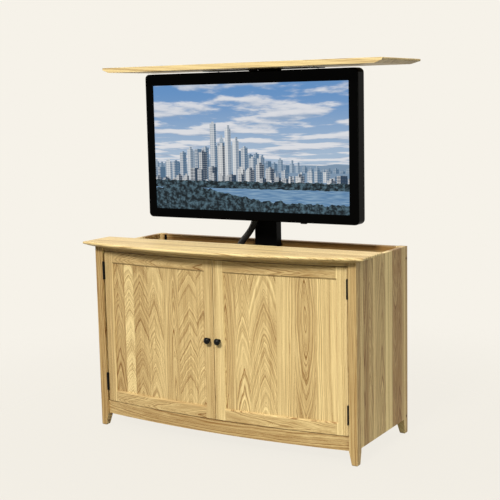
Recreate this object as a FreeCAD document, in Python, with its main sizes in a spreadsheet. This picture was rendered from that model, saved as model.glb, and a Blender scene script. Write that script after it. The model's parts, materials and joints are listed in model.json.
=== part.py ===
"""A television lift cabinet with a bowed front, as separate pieces in one document.

The frame stands on z = 0, with +Z up, the doors towards -Y and +X to the viewer's right. The
origin is below the middle of the whole, and the lift stands raised. Sizes are in millimetres.
"""
import FreeCAD, Part
import Sketcher
import math
import os

from FreeCAD import Placement, Rotation, Vector

DOC = FreeCAD.newDocument("tv_lift_cabinet")
SHEET = DOC.addObject("Spreadsheet::Sheet", "dim")

SIZES = {
    # carcass: posts, planked sides, rails and the removable back
    "carcass_width": 1245,
    "carcass_depth": 496,
    "carcass_height": 799,
    "post_size": 36,
    "foot_height": 55,
    "foot_taper": 12,
    "foot_round": 6,
    "side_thick": 20,
    "side_bottom": 65,
    "apron_bottom": 56,
    "apron_height": 56.5,
    "board_thick": 22,
    "upper_rail_height": 19.6,
    "upper_rail_depth": 60,
    "floor_thick": 18,
    "cleat_size": 18,
    "back_thick": 10,
    "back_recess": 8,
    "back_rail_thick": 20,
    "back_rail_height": 60,
    "back_screw_margin": 60,
    "cable_hole_size": 60,
    "cable_hole_height": 210,
    "cable_hole_reach": 330,
    # top: a fixed bowed strip in front, and the lid behind the saw cut
    "top_thick": 21,
    "nose_thick": 9,
    "nose_round": 3.5,
    "bevel_run": 31,
    "top_side_overhang": 43,
    "top_front_overhang": 31,
    "top_back_overhang": 39,
    "top_bow": 84,
    "strip_depth": 181,
    "saw_gap": 2,
    # bowed doors, frame and flat panel
    "door_bow": 42,
    "door_setback": 8.5,
    "door_thick": 22,
    "door_gap": 3,
    "meeting_gap": 3,
    "hinge_gap": 5.5,
    "stile_width": 46,
    "rail_width": 49,
    "groove_depth": 9,
    "panel_set": 7.5,
    "panel_thick": 9,
    "panel_fit": 0.15,
    "panel_play": 1,
    "frame_bevel": 5,
    "knob_size": 27,
    "knob_reach": 28,
    "knob_neck": 13,
    "knob_foot": 16,
    "knob_foot_height": 5.5,
    "knob_neck_height": 6,
    "knob_flare_height": 5,
    "knob_rim_height": 4.5,
    # butt hinges
    "leaf_length": 76,
    "leaf_thick": 1.8,
    "leaf_width": 24,
    "hinge_end": 46,
    "pin_set": 2,
    "pin_size": 4,
    "turning_gap": 0.3,
    "pin_head_size": 6,
    "pin_head_height": 2.5,
    # catches
    "catch_reach": 60,
    "catch_width": 44,
    "catch_depth": 30,
    "catch_height": 13,
    "strike_width": 30,
    "strike_height": 12,
    "strike_thick": 1.2,
    "catch_gap": 0.4,
    # compartment behind the doors
    "partition_set": 215,
    "partition_thick": 18,
    "partition_drop": 20,
    "strip_rail_height": 60,
    "divider_gap": 4,
    "shelf_height": 430,
    "shelf_thick": 18,
    "shelf_play": 1,
    "shelf_pin_size": 5,
    "shelf_pin_length": 20,
    "shelf_pin_depth": 8,
    "shelf_pin_inset": 35,
    # lift column
    "lift_travel": 742,
    "lid_gap": 1,
    "column_set": 72,
    "column_wall": 2.5,
    "corner_round": 6,
    "base_width": 260,
    "base_depth": 62,
    "base_thick": 8,
    "outer_width": 126,
    "outer_depth": 56,
    "outer_drop": 145,
    "middle_width": 109,
    "middle_depth": 45,
    "middle_drop": 29,
    "middle_lift": 8,
    "inner_width": 92,
    "inner_depth": 32,
    "inner_lift": 12,
    "glide_height": 60,
    "glide_gap": 0.3,
    "strap_width": 60,
    "strap_overlap": 55,
    "gearbox_width": 62,
    "gearbox_depth": 48,
    "gearbox_height": 66,
    "motor_size": 46,
    "motor_length": 150,
    "motor_cap_size": 32,
    "motor_cap_height": 7,
    "control_width": 165,
    "control_depth": 44,
    "control_height": 52,
    "control_margin": 161.5,
    # television mount and lid bracket
    "plate_thick": 5,
    "plate_width": 120,
    "plate_margin": 20,
    "plate_bend": 4,
    "plate_bolt_reach": 40,
    "crossbar_length": 460,
    "crossbar_height": 40,
    "crossbar_thick": 10,
    "crossbar_spacing": 200,
    "crossbar_slot": 8,
    "crossbar_slot_length": 145,
    "arm_spacing": 400,
    "arm_width": 30,
    "arm_depth": 15,
    "arm_wall": 3,
    "arm_bolt_spacing": 400,
    "arm_end": 15,
    "bolt_size": 6,
    "bolt_head_size": 12,
    "bolt_head_height": 4,
    "bolt_bite": 8,
    "bracket_width": 552,
    "bracket_stand": 160,
    "bracket_thick": 4,
    "bracket_height": 94.5,
    "bracket_front": 66,
    "bracket_back": 24,
    "bracket_screw_margin": 30,
    "bracket_foot": 56,
    "screw_size": 4,
    "screw_head_size": 8,
    "screw_head_height": 2.4,
    "screw_length": 18,
    "back_screw_length": 24,
    "screw_fit": 0.1,
    # television
    "tv_width": 1030,
    "tv_height": 626,
    "tv_set": 258,
    "tv_lid_gap": 11,
    "bezel_depth": 52,
    "bezel_corner": 20,
    "bezel_edge_round": 5,
    "bezel_lip": 4,
    "bezel_wall": 5,
    "screen_width": 948,
    "screen_height": 536,
    "screen_drop": 5,
    "screen_lap": 6,
    "screen_thick": 8,
    "cover_depth": 38,
    "cover_wall": 3,
    "cover_inset": 2,
    "cover_rim": 8,
    "cover_back_width": 700,
    "cover_back_height": 440,
    "cover_back_corner": 30,
    "vent_count": 24,
    "vent_reach": 161,
    "vent_width": 4,
    "vent_length": 32,
    "vent_depth": 1.5,
    "vent_rise": 150,
    "boss_size": 16,
    "sensor_reach": 261,
    "sensor_width": 26,
    "sensor_height": 4,
    "sensor_depth": 10,
    # cable sleeve and the gland at each end
    "sleeve_size": 28,
    "gland_wall": 4,
    "gland_flange": 58,
    "gland_height": 30,
    "gland_bore": 14,
    "gland_rise": 24,
}

for row, (alias, size) in enumerate(SIZES.items(), start=1):
    SHEET.set(f"A{row}", str(size))
    SHEET.setAlias(f"A{row}", alias)
DOC.recompute()

NODES = []

# Places that more than one piece is worked out from, as expressions on the sheet.
HALF_WIDTH = "(dim.carcass_width / 2)"
FRONT = "((dim.top_bow + dim.top_front_overhang - dim.carcass_depth - dim.top_back_overhang) / 2)"
BACK = f"({FRONT} + dim.carcass_depth)"
BETWEEN_POSTS = "(dim.carcass_width / 2 - dim.post_size)"
SIDE_INSIDE = "(dim.carcass_width / 2 - dim.side_thick)"
BACK_INSIDE = f"({BACK} - dim.back_recess - dim.back_thick)"
BACK_RAIL_FRONT = f"({BACK_INSIDE} - dim.back_rail_thick)"
BOW_RADIUS = f"(({BETWEEN_POSTS}^2 + dim.door_bow^2) / (2 * dim.door_bow))"
BOW_CENTRE = f"({FRONT} + dim.door_setback - dim.door_bow + {BOW_RADIUS})"
FLOOR_TOP = "(dim.apron_bottom + dim.apron_height)"
DOOR_BOTTOM = f"({FLOOR_TOP} + dim.door_gap)"
DOOR_TOP = "(dim.carcass_height - dim.upper_rail_height - dim.door_gap)"
STRIP_FRONT = f"({FRONT} - dim.top_front_overhang)"
STRIP_BACK = f"({STRIP_FRONT} + dim.strip_depth)"
TOP_HALF = "(dim.carcass_width / 2 + dim.top_side_overhang)"


def number(expression):
    """The value of an expression on the sheet's sizes."""
    return float(SHEET.evalExpression(expression))


def keep(piece, label):
    """Names a finished piece and puts it on the list of those that are written."""
    piece.Label = label
    NODES.append(piece)
    return piece


def place(piece, x="0", y="0", z="0", turn=None):
    """Binds a piece's position to the sheet, with an optional fixed turn (axis, degrees)."""
    if turn:
        piece.Placement = Placement(Vector(), Rotation(turn[0], turn[1]))
    piece.setExpression("Placement.Base.x", x)
    piece.setExpression("Placement.Base.y", y)
    piece.setExpression("Placement.Base.z", z)
    return piece


def block(name, x, y, z):
    """A box between two expressions along each axis."""
    box = DOC.addObject("Part::Box", name)
    box.setExpression("Length", f"({x[1]}) - ({x[0]})")
    box.setExpression("Width", f"({y[1]}) - ({y[0]})")
    box.setExpression("Height", f"({z[1]}) - ({z[0]})")
    return place(box, x[0], y[0], z[0])


TURNS = {
    "+z": None,
    "-z": (Vector(1, 0, 0), 180),
    "+y": (Vector(1, 0, 0), -90),
    "-y": (Vector(1, 0, 0), 90),
    "+x": (Vector(0, 1, 0), 90),
}


def rod(name, at, diameter, length, along="+z"):
    """A cylinder that starts at a point and runs along an axis."""
    cylinder = DOC.addObject("Part::Cylinder", name)
    cylinder.setExpression("Radius", f"({diameter}) / 2")
    cylinder.setExpression("Height", length)
    return place(cylinder, *at, turn=TURNS[along])


def joined(name, pieces):
    """One solid from touching pieces."""
    fused = DOC.addObject("Part::MultiFuse", name)
    fused.Shapes = pieces
    return fused


def grouped(name, pieces):
    """Separate solids that share a node."""
    compound = DOC.addObject("Part::Compound", name)
    compound.Links = pieces
    return compound


def without(name, piece, *tools):
    """A piece less its cutters."""
    cut = DOC.addObject("Part::Cut", name)
    cut.Base = piece
    cut.Tool = tools[0] if len(tools) == 1 else joined(name + "_cutters", list(tools))
    return cut


def new_body(name):
    """An empty part-design body."""
    return DOC.addObject("PartDesign::Body", name)


def sketch_on(body, role, name, height=None):
    """A sketch on one of a body's own origin planes, lifted along its normal if asked."""
    sketch = body.newObject("Sketcher::SketchObject", name)
    origin_plane = next(f for f in body.Origin.OriginFeatures if f.Role == role)
    sketch.AttachmentSupport = [(origin_plane, "")]
    sketch.MapMode = "FlatFace"
    if height:
        sketch.setExpression("AttachmentOffset.Base.z", height)
    return sketch


def outline(sketch, corners, arcs=None):
    """A closed outline. Each corner is a pair of expressions. arcs gives the radius and the
    centre, as expressions, of each edge that is round, by the number of its first corner."""
    arcs = arcs or {}
    points = [Vector(number(x), number(y), 0) for x, y in corners]
    first = sketch.GeometryCount
    ends = []
    for edge, start in enumerate(points):
        finish = points[(edge + 1) % len(points)]
        if edge in arcs:
            radius, centre_x, centre_y = (number(value) for value in arcs[edge])
            centre = Vector(centre_x, centre_y, 0)
            angles = [math.atan2(p.y - centre_y, p.x - centre_x) for p in (start, finish)]
            forward = math.sin(angles[1] - angles[0]) > 0
            circle = Part.Circle(centre, Vector(0, 0, 1), radius)
            turn = angles if forward else angles[::-1]
            sketch.addGeometry(Part.ArcOfCircle(circle, *turn))
            ends.append((1, 2) if forward else (2, 1))
        else:
            sketch.addGeometry(Part.LineSegment(start, finish))
            ends.append((1, 2))
    for edge, (start_end, finish_end) in enumerate(ends):
        following = (edge + 1) % len(ends)
        sketch.addConstraint(
            Sketcher.Constraint(
                "Coincident", first + edge, finish_end, first + following, ends[following][0]
            )
        )
        for axis, value in zip(("DistanceX", "DistanceY"), corners[edge]):
            index = sketch.addConstraint(
                Sketcher.Constraint(axis, -1, 1, first + edge, start_end, number(value))
            )
            sketch.setExpression(f"Constraints[{index}]", value)
        if edge in arcs:
            index = sketch.addConstraint(
                Sketcher.Constraint("Radius", first + edge, number(arcs[edge][0]))
            )
            sketch.setExpression(f"Constraints[{index}]", arcs[edge][0])
    return sketch


def rectangle(sketch, x, y):
    """A rectangle between two expressions each way."""
    return outline(sketch, [(x[0], y[0]), (x[1], y[0]), (x[1], y[1]), (x[0], y[1])])


def centred(size):
    """A span of this size about the middle."""
    return (f"-({size}) / 2", f"({size}) / 2")


def pad(body, sketch, length, both_ways=False, backwards=False):
    """Extrudes a sketch by an expression."""
    feature = body.newObject("PartDesign::Pad", sketch.Name + "_pad")
    feature.Profile = sketch
    feature.SideType = "Symmetric" if both_ways else "One side"
    feature.Reversed = backwards
    feature.setExpression("Length", length)
    return feature


def pocket(body, sketch, length=None, both_ways=False, forwards=False):
    """Cuts a sketch into a body, by an expression or all the way through."""
    feature = body.newObject("PartDesign::Pocket", sketch.Name + "_pocket")
    feature.Profile = sketch
    feature.SideType = "Symmetric" if both_ways else "One side"
    feature.Reversed = forwards
    if length:
        feature.setExpression("Length", length)
    else:
        feature.Type = "ThroughAll"
    return feature


def near(value, other):
    """Whether two lengths agree to a hundredth of a millimetre."""
    return abs(value - other) < 0.01


def edge_names(feature, test):
    """The names of a feature's edges that pass a test."""
    DOC.recompute()
    return [f"Edge{n}" for n, edge in enumerate(feature.Shape.Edges, start=1) if test(edge)]


def level_at(height):
    """A test for edges that lie at one height."""
    return lambda edge: all(near(vertex.Z, height) for vertex in edge.Vertexes)


def running_along(axis):
    """A test for straight edges that run along an axis."""
    def test(edge):
        return edge.Curve.TypeId == "Part::GeomLine" and near(abs(edge.Curve.Direction.dot(axis)), 1)
    return test


def eased(body, feature, test, radius, name):
    """Fillets those of a feature's edges that pass a test."""
    fillet = body.newObject("PartDesign::Fillet", name)
    fillet.Base = (feature, edge_names(feature, test))
    fillet.setExpression("Radius", radius)
    return fillet


# ---------------------------------------------------------------------------------- the bow
# The apron, the rail above the doors and the doors share one upright cylinder. A place on
# them is an x and an inset behind the face.

def bow_point(x, inset):
    """The corner at x on the surface that lies an inset behind the bowed face."""
    return (x, f"({BOW_CENTRE} - sqrt(({BOW_RADIUS} - ({inset}))^2 - ({x})^2))")


def bow_arc(inset):
    """The round edge at an inset behind the bowed face."""
    return (f"{BOW_RADIUS} - ({inset})", "0", BOW_CENTRE)


def bow_section(sketch, x, inset):
    """A slice of the bow between two x and two insets."""
    corners = [
        bow_point(x[0], inset[0]),
        bow_point(x[1], inset[0]),
        bow_point(x[1], inset[1]),
        bow_point(x[0], inset[1]),
    ]
    return outline(sketch, corners, {0: bow_arc(inset[0]), 2: bow_arc(inset[1])})


def bowed_board(name, x, inset, z):
    """A board bent to the bow, between two x, two insets and two heights."""
    body = new_body(name)
    section = bow_section(sketch_on(body, "XY_Plane", name + "_section"), x, inset)
    pad(body, section, f"({z[1]}) - ({z[0]})")
    return place(body, z=z[0])


# -------------------------------------------------------------------------------- the hinges
HINGE_X = f"({BETWEEN_POSTS} - dim.hinge_gap / 2)"
HINGE_Y = f"({FRONT} + dim.pin_set)"
KNUCKLE = "(dim.hinge_gap + 2 * dim.leaf_thick)"
HINGE_HEIGHTS = {
    "lower": f"({DOOR_BOTTOM} + dim.hinge_end)",
    "upper": f"({DOOR_TOP} - dim.hinge_end - dim.leaf_length)",
}
SIDES = ("left", "right")


def mirrored_span(side, a, b):
    """The span between two distances from the middle, on the left or the right."""
    return (f"-({b})", f"-({a})") if side == "left" else (a, b)


def hinge(side, level):
    """One butt hinge: its two leaves, its pin, and the cutters that let them into the wood."""
    name = f"{side}_{level}_hinge"
    sign = "-" if side == "left" else ""
    bottom = HINGE_HEIGHTS[level]
    third = "(dim.leaf_length / 3)"
    axis = (f"{sign}{HINGE_X}", HINGE_Y)

    def knuckle(part, start, length, wider):
        at = (*axis, f"{bottom} + {start}")
        return rod(f"{name}_{part}", at, f"{KNUCKLE} + 2 * ({wider})", length)

    def plate(part, near_edge, far_edge):
        span = mirrored_span(side, near_edge, far_edge)
        y = (HINGE_Y, f"{HINGE_Y} + dim.leaf_width")
        return block(f"{name}_{part}", span, y, (bottom, f"{bottom} + dim.leaf_length"))

    bore = rod(f"{name}_bore", (*axis, bottom), "dim.pin_size + dim.turning_gap", "dim.leaf_length")
    frame_plate = plate("frame_plate", BETWEEN_POSTS, f"{BETWEEN_POSTS} + dim.leaf_thick")
    door_edge = f"({BETWEEN_POSTS} - dim.hinge_gap)"
    door_plate = plate("door_plate", f"{door_edge} - dim.leaf_thick", door_edge)
    gap = "dim.turning_gap"
    frame_leaf = without(
        f"{name}_frame_leaf",
        joined(
            f"{name}_frame_joined",
            [
                without(
                    f"{name}_frame_trimmed",
                    frame_plate,
                    knuckle("frame_trim", f"{third} - {gap}", f"{third} + 2 * {gap}", gap),
                ),
                knuckle("frame_low", "0", f"{third} - {gap}", "0"),
                knuckle("frame_high", f"2 * {third} + {gap}", f"{third} - {gap}", "0"),
            ],
        ),
        bore,
    )
    door_leaf = without(
        f"{name}_door_leaf",
        joined(
            f"{name}_door_joined",
            [
                without(
                    f"{name}_door_trimmed",
                    door_plate,
                    knuckle("door_trim_low", "0", third, gap),
                    knuckle("door_trim_high", f"2 * {third}", third, gap),
                ),
                knuckle("door_middle", third, third, "0"),
            ],
        ),
        bore,
    )
    top = f"{bottom} + dim.leaf_length"
    pin = joined(
        f"{name}_pin",
        [
            rod(f"{name}_shank", (*axis, bottom), "dim.pin_size", "dim.leaf_length"),
            rod(f"{name}_cap", (*axis, top), "dim.pin_head_size", "dim.pin_head_height"),
        ],
    )
    recess = knuckle("recess", "-dim.pin_head_height", "dim.leaf_length + 2 * dim.pin_head_height", gap)
    return {
        "frame_leaf": frame_leaf,
        "door_leaf": door_leaf,
        "pin": pin,
        "frame_cutters": [frame_plate, recess],
        "door_cutters": [door_plate, recess],
    }


HINGES = {(side, level): hinge(side, level) for side in SIDES for level in HINGE_HEIGHTS}

keep(grouped("frame_leaves", [h["frame_leaf"] for h in HINGES.values()]), "hinge_frame_leaves")
keep(grouped("pins", [h["pin"] for h in HINGES.values()]), "hinge_pins")


# --------------------------------------------------------------------------------- the posts
def post(side, end):
    """A square post, tapered on its two inner faces at the foot and eased at the bottom."""
    name = f"{end}_{side}_post"
    out = "-" if side == "left" else ""
    back = "" if end == "front" else "-"
    body = new_body(name + "_blank")
    outer_x, inner_x = f"{out}{HALF_WIDTH}", f"{out}{BETWEEN_POSTS}"
    outer_y = FRONT if end == "front" else BACK
    inner_y = f"({outer_y} + {back}dim.post_size)"
    section = sketch_on(body, "XY_Plane", name + "_section")
    outline(section, [(outer_x, outer_y), (inner_x, outer_y), (inner_x, inner_y), (outer_x, inner_y)])
    pad(body, section, "dim.carcass_height")
    across = outline(
        sketch_on(body, "XZ_Plane", name + "_across"),
        [
            (inner_x, "dim.foot_height"),
            (inner_x, "0"),
            (f"{inner_x} + ({out}dim.foot_taper)", "0"),
        ],
    )
    pocket(body, across, both_ways=True)
    along = outline(
        sketch_on(body, "YZ_Plane", name + "_along"),
        [
            (inner_y, "dim.foot_height"),
            (inner_y, "0"),
            (f"{inner_y} - ({back}dim.foot_taper)", "0"),
        ],
    )
    tapered = pocket(body, along, both_ways=True)
    eased(body, tapered, level_at(0), "dim.foot_round", name + "_ease")
    if end == "back":
        return keep(body, name)
    cutters = [c for (s, _), h in HINGES.items() if s == side for c in h["frame_cutters"]]
    return keep(without(name, body, *cutters), name)


for post_side in SIDES:
    post(post_side, "front")
    post(post_side, "back")


# ---------------------------------------------------------------- shelves, divider and sides
SHELF_BOTTOM = "dim.shelf_height"
SHELF_FRONT = f"({FRONT} + dim.post_size + dim.shelf_play)"
PARTITION_FRONT = f"({FRONT} + dim.partition_set)"
PARTITION_BACK = f"({PARTITION_FRONT} + dim.partition_thick)"
DIVIDER_FACE = "(dim.partition_thick / 2)"


def shelf_pins(side, diameter, name):
    """The four pins under one shelf, or the holes that they sit in."""
    height = f"{SHELF_BOTTOM} - dim.shelf_pin_size / 2"
    lengths = []
    for depth in (
        f"{SHELF_FRONT} + dim.shelf_pin_inset",
        f"{PARTITION_FRONT} - dim.shelf_play - dim.shelf_pin_inset",
    ):
        outer = f"{SIDE_INSIDE} - dim.shelf_pin_length + dim.shelf_pin_depth"
        inner = f"{DIVIDER_FACE} - dim.shelf_pin_depth"
        for start in (outer, inner):
            x = start if side == "right" else f"-({start}) - dim.shelf_pin_length"
            lengths.append(
                rod(f"{name}_{len(lengths)}", (x, depth, height), diameter, "dim.shelf_pin_length", "+x")
            )
    return lengths


pins = []
shelves = []
holes = {}
for shelf_side in SIDES:
    pins += shelf_pins(shelf_side, "dim.shelf_pin_size", f"{shelf_side}_shelf_pin")
    holes[shelf_side] = grouped(
        f"{shelf_side}_pin_holes",
        shelf_pins(shelf_side, "dim.shelf_pin_size + 2 * dim.screw_fit", f"{shelf_side}_pin_hole"),
    )
    shelf = block(
        f"{shelf_side}_shelf",
        mirrored_span(
            shelf_side, f"{DIVIDER_FACE} + dim.shelf_play", f"{SIDE_INSIDE} - dim.shelf_play"
        ),
        (SHELF_FRONT, f"{PARTITION_FRONT} - dim.shelf_play"),
        (SHELF_BOTTOM, f"{SHELF_BOTTOM} + dim.shelf_thick"),
    )
    shelves.append(shelf)
    side_board = block(
        f"{shelf_side}_side_board",
        mirrored_span(shelf_side, SIDE_INSIDE, HALF_WIDTH),
        (f"{FRONT} + dim.post_size", f"{BACK} - dim.post_size"),
        ("dim.side_bottom", "dim.carcass_height"),
    )
    keep(without(f"{shelf_side}_side", side_board, holes[shelf_side]), f"{shelf_side}_side_panel")
keep(grouped("both_shelves", shelves), "shelves")
keep(grouped("all_shelf_pins", pins), "shelf_pins")

strip_rail_bottom = "(dim.carcass_height - dim.strip_rail_height)"
divider_board = block(
    "divider_board",
    (f"-{DIVIDER_FACE}", DIVIDER_FACE),
    (f"{bow_point(DIVIDER_FACE, 'dim.door_thick')[1]} + dim.divider_gap", PARTITION_FRONT),
    (FLOOR_TOP, strip_rail_bottom),
)
keep(without("divider", divider_board, *holes.values()), "center_divider")
keep(
    block(
        "partition",
        (f"-{SIDE_INSIDE}", SIDE_INSIDE),
        (PARTITION_FRONT, PARTITION_BACK),
        (FLOOR_TOP, "dim.carcass_height - dim.partition_drop"),
    ),
    "bay_partition",
)
keep(
    block(
        "strip_rail",
        (f"-{SIDE_INSIDE}", SIDE_INSIDE),
        (f"{STRIP_BACK} - dim.board_thick", STRIP_BACK),
        (strip_rail_bottom, "dim.carcass_height"),
    ),
    "strip_support_rail",
)

# ------------------------------------------------------------------- rails, floor and cleats
between = (f"-{BETWEEN_POSTS}", BETWEEN_POSTS)
keep(bowed_board("apron", between, ("0", "dim.board_thick"), ("dim.apron_bottom", FLOOR_TOP)), "apron_rail")
keep(
    bowed_board(
        "upper_rail",
        between,
        ("0", "dim.upper_rail_depth"),
        ("dim.carcass_height - dim.upper_rail_height", "dim.carcass_height"),
    ),
    "upper_front_rail",
)


def floor_panel():
    """The floor: bowed in front against the apron, and notched round the four posts."""
    body = new_body("floor")
    front = bow_point(BETWEEN_POSTS, "dim.board_thick")[1]
    right = [
        (BETWEEN_POSTS, front),
        (BETWEEN_POSTS, f"{FRONT} + dim.post_size"),
        (SIDE_INSIDE, f"{FRONT} + dim.post_size"),
        (SIDE_INSIDE, f"{BACK} - dim.post_size"),
        (BETWEEN_POSTS, f"{BACK} - dim.post_size"),
        (BETWEEN_POSTS, BACK_INSIDE),
    ]
    left = [(f"-{x}", y) for x, y in reversed(right)]
    section = outline(
        sketch_on(body, "XY_Plane", "floor_section"),
        right + left,
        {len(right) + len(left) - 1: bow_arc("dim.board_thick")},
    )
    pad(body, section, "dim.floor_thick")
    return place(body, z=FLOOR_BOTTOM)


FLOOR_BOTTOM = f"({FLOOR_TOP} - dim.floor_thick)"
keep(floor_panel(), "floor_panel")
cleats = []
for cleat_side in SIDES:
    cleats.append(
        block(
            f"{cleat_side}_cleat",
            mirrored_span(cleat_side, f"{SIDE_INSIDE} - dim.cleat_size", SIDE_INSIDE),
            (f"{FRONT} + dim.post_size", BACK_RAIL_FRONT),
            (f"{FLOOR_BOTTOM} - dim.cleat_size", FLOOR_BOTTOM),
        )
    )
keep(grouped("cleats", cleats), "floor_cleats")

# ------------------------------------------------------------------------------ screw groups
SCREW_CAP = ("dim.screw_head_size", "dim.screw_head_height")


def screw(name, at, along, length, size="dim.screw_size", cap=SCREW_CAP):
    """A screw whose cap's underside is at a point, with its shank running along an axis."""
    back = {"+y": "-y", "+z": "-z", "-y": "+y"}[along]
    shank = rod(name + "_shank", at, size, length, along)
    return joined(name, [shank, rod(name + "_cap", at, cap[0], cap[1], back)])


def bored(name, at, along, length, size="dim.screw_size"):
    """The hole that a screw's shank sits in."""
    return rod(name, at, f"{size} + 2 * dim.screw_fit", length, along)


# ---------------------------------------------------------------------------------- the back
BACK_OUTSIDE = f"({BACK} - dim.back_recess)"
UPPER_RAIL_BOTTOM = "(dim.carcass_height - dim.back_rail_height)"
back_screws = []
back_holes = []
screw_rows = {
    "upper": "(dim.carcass_height - dim.back_rail_height / 2)",
    "lower": f"((dim.side_bottom + {FLOOR_BOTTOM}) / 2)",
}
for row_name, height in screw_rows.items():
    for step in range(-2, 3):
        x = f"({BETWEEN_POSTS} - dim.back_screw_margin) * {step} / 2"
        label = f"back_{row_name}_{step + 2}"
        at = (x, BACK_OUTSIDE, height)
        back_screws.append(screw(label, at, "-y", "dim.back_screw_length"))
        back_holes.append(bored(label + "_hole", at, "-y", "dim.back_screw_length"))
keep(grouped("back_screw_group", back_screws), "back_panel_screws")
hole_group = grouped("back_hole_group", back_holes)

back_height = ("dim.side_bottom", "dim.carcass_height")
back_board = block("back_board", between, (BACK_INSIDE, BACK_OUTSIDE), back_height)
cable_holes = []
for hole_side in SIDES:
    sign = "-" if hole_side == "left" else ""
    at = (f"{sign}dim.cable_hole_reach", BACK_INSIDE, "dim.cable_hole_height")
    cable_holes.append(rod(f"{hole_side}_cable_hole", at, "dim.cable_hole_size", "dim.back_thick", "+y"))
keep(without("back", back_board, hole_group, *cable_holes), "back_panel")
rails = [
    block("upper_back", between, (BACK_RAIL_FRONT, BACK_INSIDE), (UPPER_RAIL_BOTTOM, "dim.carcass_height")),
    block("lower_back", between, (BACK_RAIL_FRONT, BACK_INSIDE), ("dim.side_bottom", FLOOR_BOTTOM)),
]
keep(without("back_rails_bored", grouped("back_rail_pair", rails), hole_group), "back_rails")


# ----------------------------------------------------------------------------------- the top
def bevelled_top(name, corners, arcs, sawn_y, z):
    """A board whose underside is bevelled up to a thin rounded nose on every edge but the
    sawn one."""
    body = new_body(name)
    section = outline(sketch_on(body, "XY_Plane", name + "_section"), corners, arcs)
    slab = pad(body, section, "dim.top_thick")
    thick, nose, sawn = number("dim.top_thick"), number("dim.nose_thick"), number(sawn_y)

    def shaped(height):
        def test(edge):
            on_saw = all(near(vertex.Y, sawn) for vertex in edge.Vertexes)
            return level_at(height)(edge) and not on_saw
        return test

    bevel = body.newObject("PartDesign::Chamfer", name + "_bevel")
    bevel.Base = (slab, edge_names(slab, shaped(0)))
    bevel.ChamferType = "Two distances"
    bevel.setExpression("Size", "dim.top_thick - dim.nose_thick")
    bevel.setExpression("Size2", "dim.bevel_run")
    arrises = edge_names(bevel, shaped(thick)) + edge_names(bevel, shaped(thick - nose))
    rounding = body.newObject("PartDesign::Fillet", name + "_nose")
    rounding.Base = (bevel, arrises)
    rounding.setExpression("Radius", "dim.nose_round")
    return place(body, z=z)


top_radius = f"(({TOP_HALF}^2 + dim.top_bow^2) / (2 * dim.top_bow))"
strip = bevelled_top(
    "strip",
    [
        (f"-{TOP_HALF}", STRIP_FRONT),
        (TOP_HALF, STRIP_FRONT),
        (TOP_HALF, STRIP_BACK),
        (f"-{TOP_HALF}", STRIP_BACK),
    ],
    {0: (top_radius, "0", f"{STRIP_FRONT} - dim.top_bow + {top_radius}")},
    STRIP_BACK,
    "dim.carcass_height",
)
keep(strip, "top_front_strip")
LID_BOTTOM = "(dim.carcass_height + dim.lid_gap + dim.lift_travel)"
LID_FRONT = f"({STRIP_BACK} + dim.saw_gap)"
LID_BACK = f"({BACK} + dim.top_back_overhang)"
lid_blank = bevelled_top(
    "lid_blank",
    [
        (f"-{TOP_HALF}", LID_FRONT),
        (TOP_HALF, LID_FRONT),
        (TOP_HALF, LID_BACK),
        (f"-{TOP_HALF}", LID_BACK),
    ],
    {},
    LID_FRONT,
    LID_BOTTOM,
)


# --------------------------------------------------------------------------------- the doors
MEETING_EDGE = "(dim.meeting_gap / 2)"
HINGE_EDGE = f"({BETWEEN_POSTS} - dim.hinge_gap)"
MEETING_SHOULDER = f"({MEETING_EDGE} + dim.stile_width)"
HINGE_SHOULDER = f"({HINGE_EDGE} - dim.stile_width)"
OPENING = (f"({DOOR_BOTTOM} + dim.rail_width)", f"({DOOR_TOP} - dim.rail_width)")
PANEL_INSET = ("dim.panel_set", "(dim.panel_set + dim.panel_thick)")
PANEL_REACH = "(dim.groove_depth - dim.panel_play)"
GROOVE_INSET = (
    "(dim.panel_set - dim.panel_fit)",
    "(dim.panel_set + dim.panel_thick + dim.panel_fit)",
)


def stile(name, side, inner, outer, into):
    """An upright of a door's frame, grooved along its inner edge. into says which way, away
    from the middle (+) or towards it (-), the groove goes into the wood."""
    mirror = "-1" if side == "left" else "1"
    body = new_body(name)
    shoulder, edge = f"{mirror} * {inner}", f"{mirror} * {outer}"
    bottom_of_groove = f"{mirror} * ({inner} {into} dim.groove_depth)"
    corners = [
        bow_point(shoulder, "0"),
        bow_point(edge, "0"),
        bow_point(edge, "dim.door_thick"),
        bow_point(shoulder, "dim.door_thick"),
        bow_point(shoulder, GROOVE_INSET[1]),
        bow_point(bottom_of_groove, GROOVE_INSET[1]),
        bow_point(bottom_of_groove, GROOVE_INSET[0]),
        bow_point(shoulder, GROOVE_INSET[0]),
    ]
    arcs = {
        0: bow_arc("0"),
        2: bow_arc("dim.door_thick"),
        4: bow_arc(GROOVE_INSET[1]),
        6: bow_arc(GROOVE_INSET[0]),
    }
    section = outline(sketch_on(body, "XY_Plane", name + "_section"), corners, arcs)
    pad(body, section, f"{DOOR_TOP} - {DOOR_BOTTOM}")
    return place(body, z=DOOR_BOTTOM)


def door_rail(name, side, bottom, groove_on_top):
    """A bowed rail of a door's frame, with stub tenons, grooved for the panel."""
    body = new_body(name)
    spans = {
        "shoulders": mirrored_span(side, MEETING_SHOULDER, HINGE_SHOULDER),
        "tenons": mirrored_span(
            side, f"{MEETING_SHOULDER} - {PANEL_REACH}", f"{HINGE_SHOULDER} + {PANEL_REACH}"
        ),
    }
    insets = {"shoulders": ("0", "dim.door_thick"), "tenons": PANEL_INSET}
    for part, span in spans.items():
        section = bow_section(sketch_on(body, "XY_Plane", f"{name}_{part}"), span, insets[part])
        pad(body, section, "dim.rail_width")
    height = "dim.rail_width" if groove_on_top else None
    groove = sketch_on(body, "XY_Plane", name + "_groove", height)
    bow_section(groove, spans["tenons"], GROOVE_INSET)
    pocket(body, groove, "dim.groove_depth", forwards=not groove_on_top)
    return place(body, z=bottom)


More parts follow.
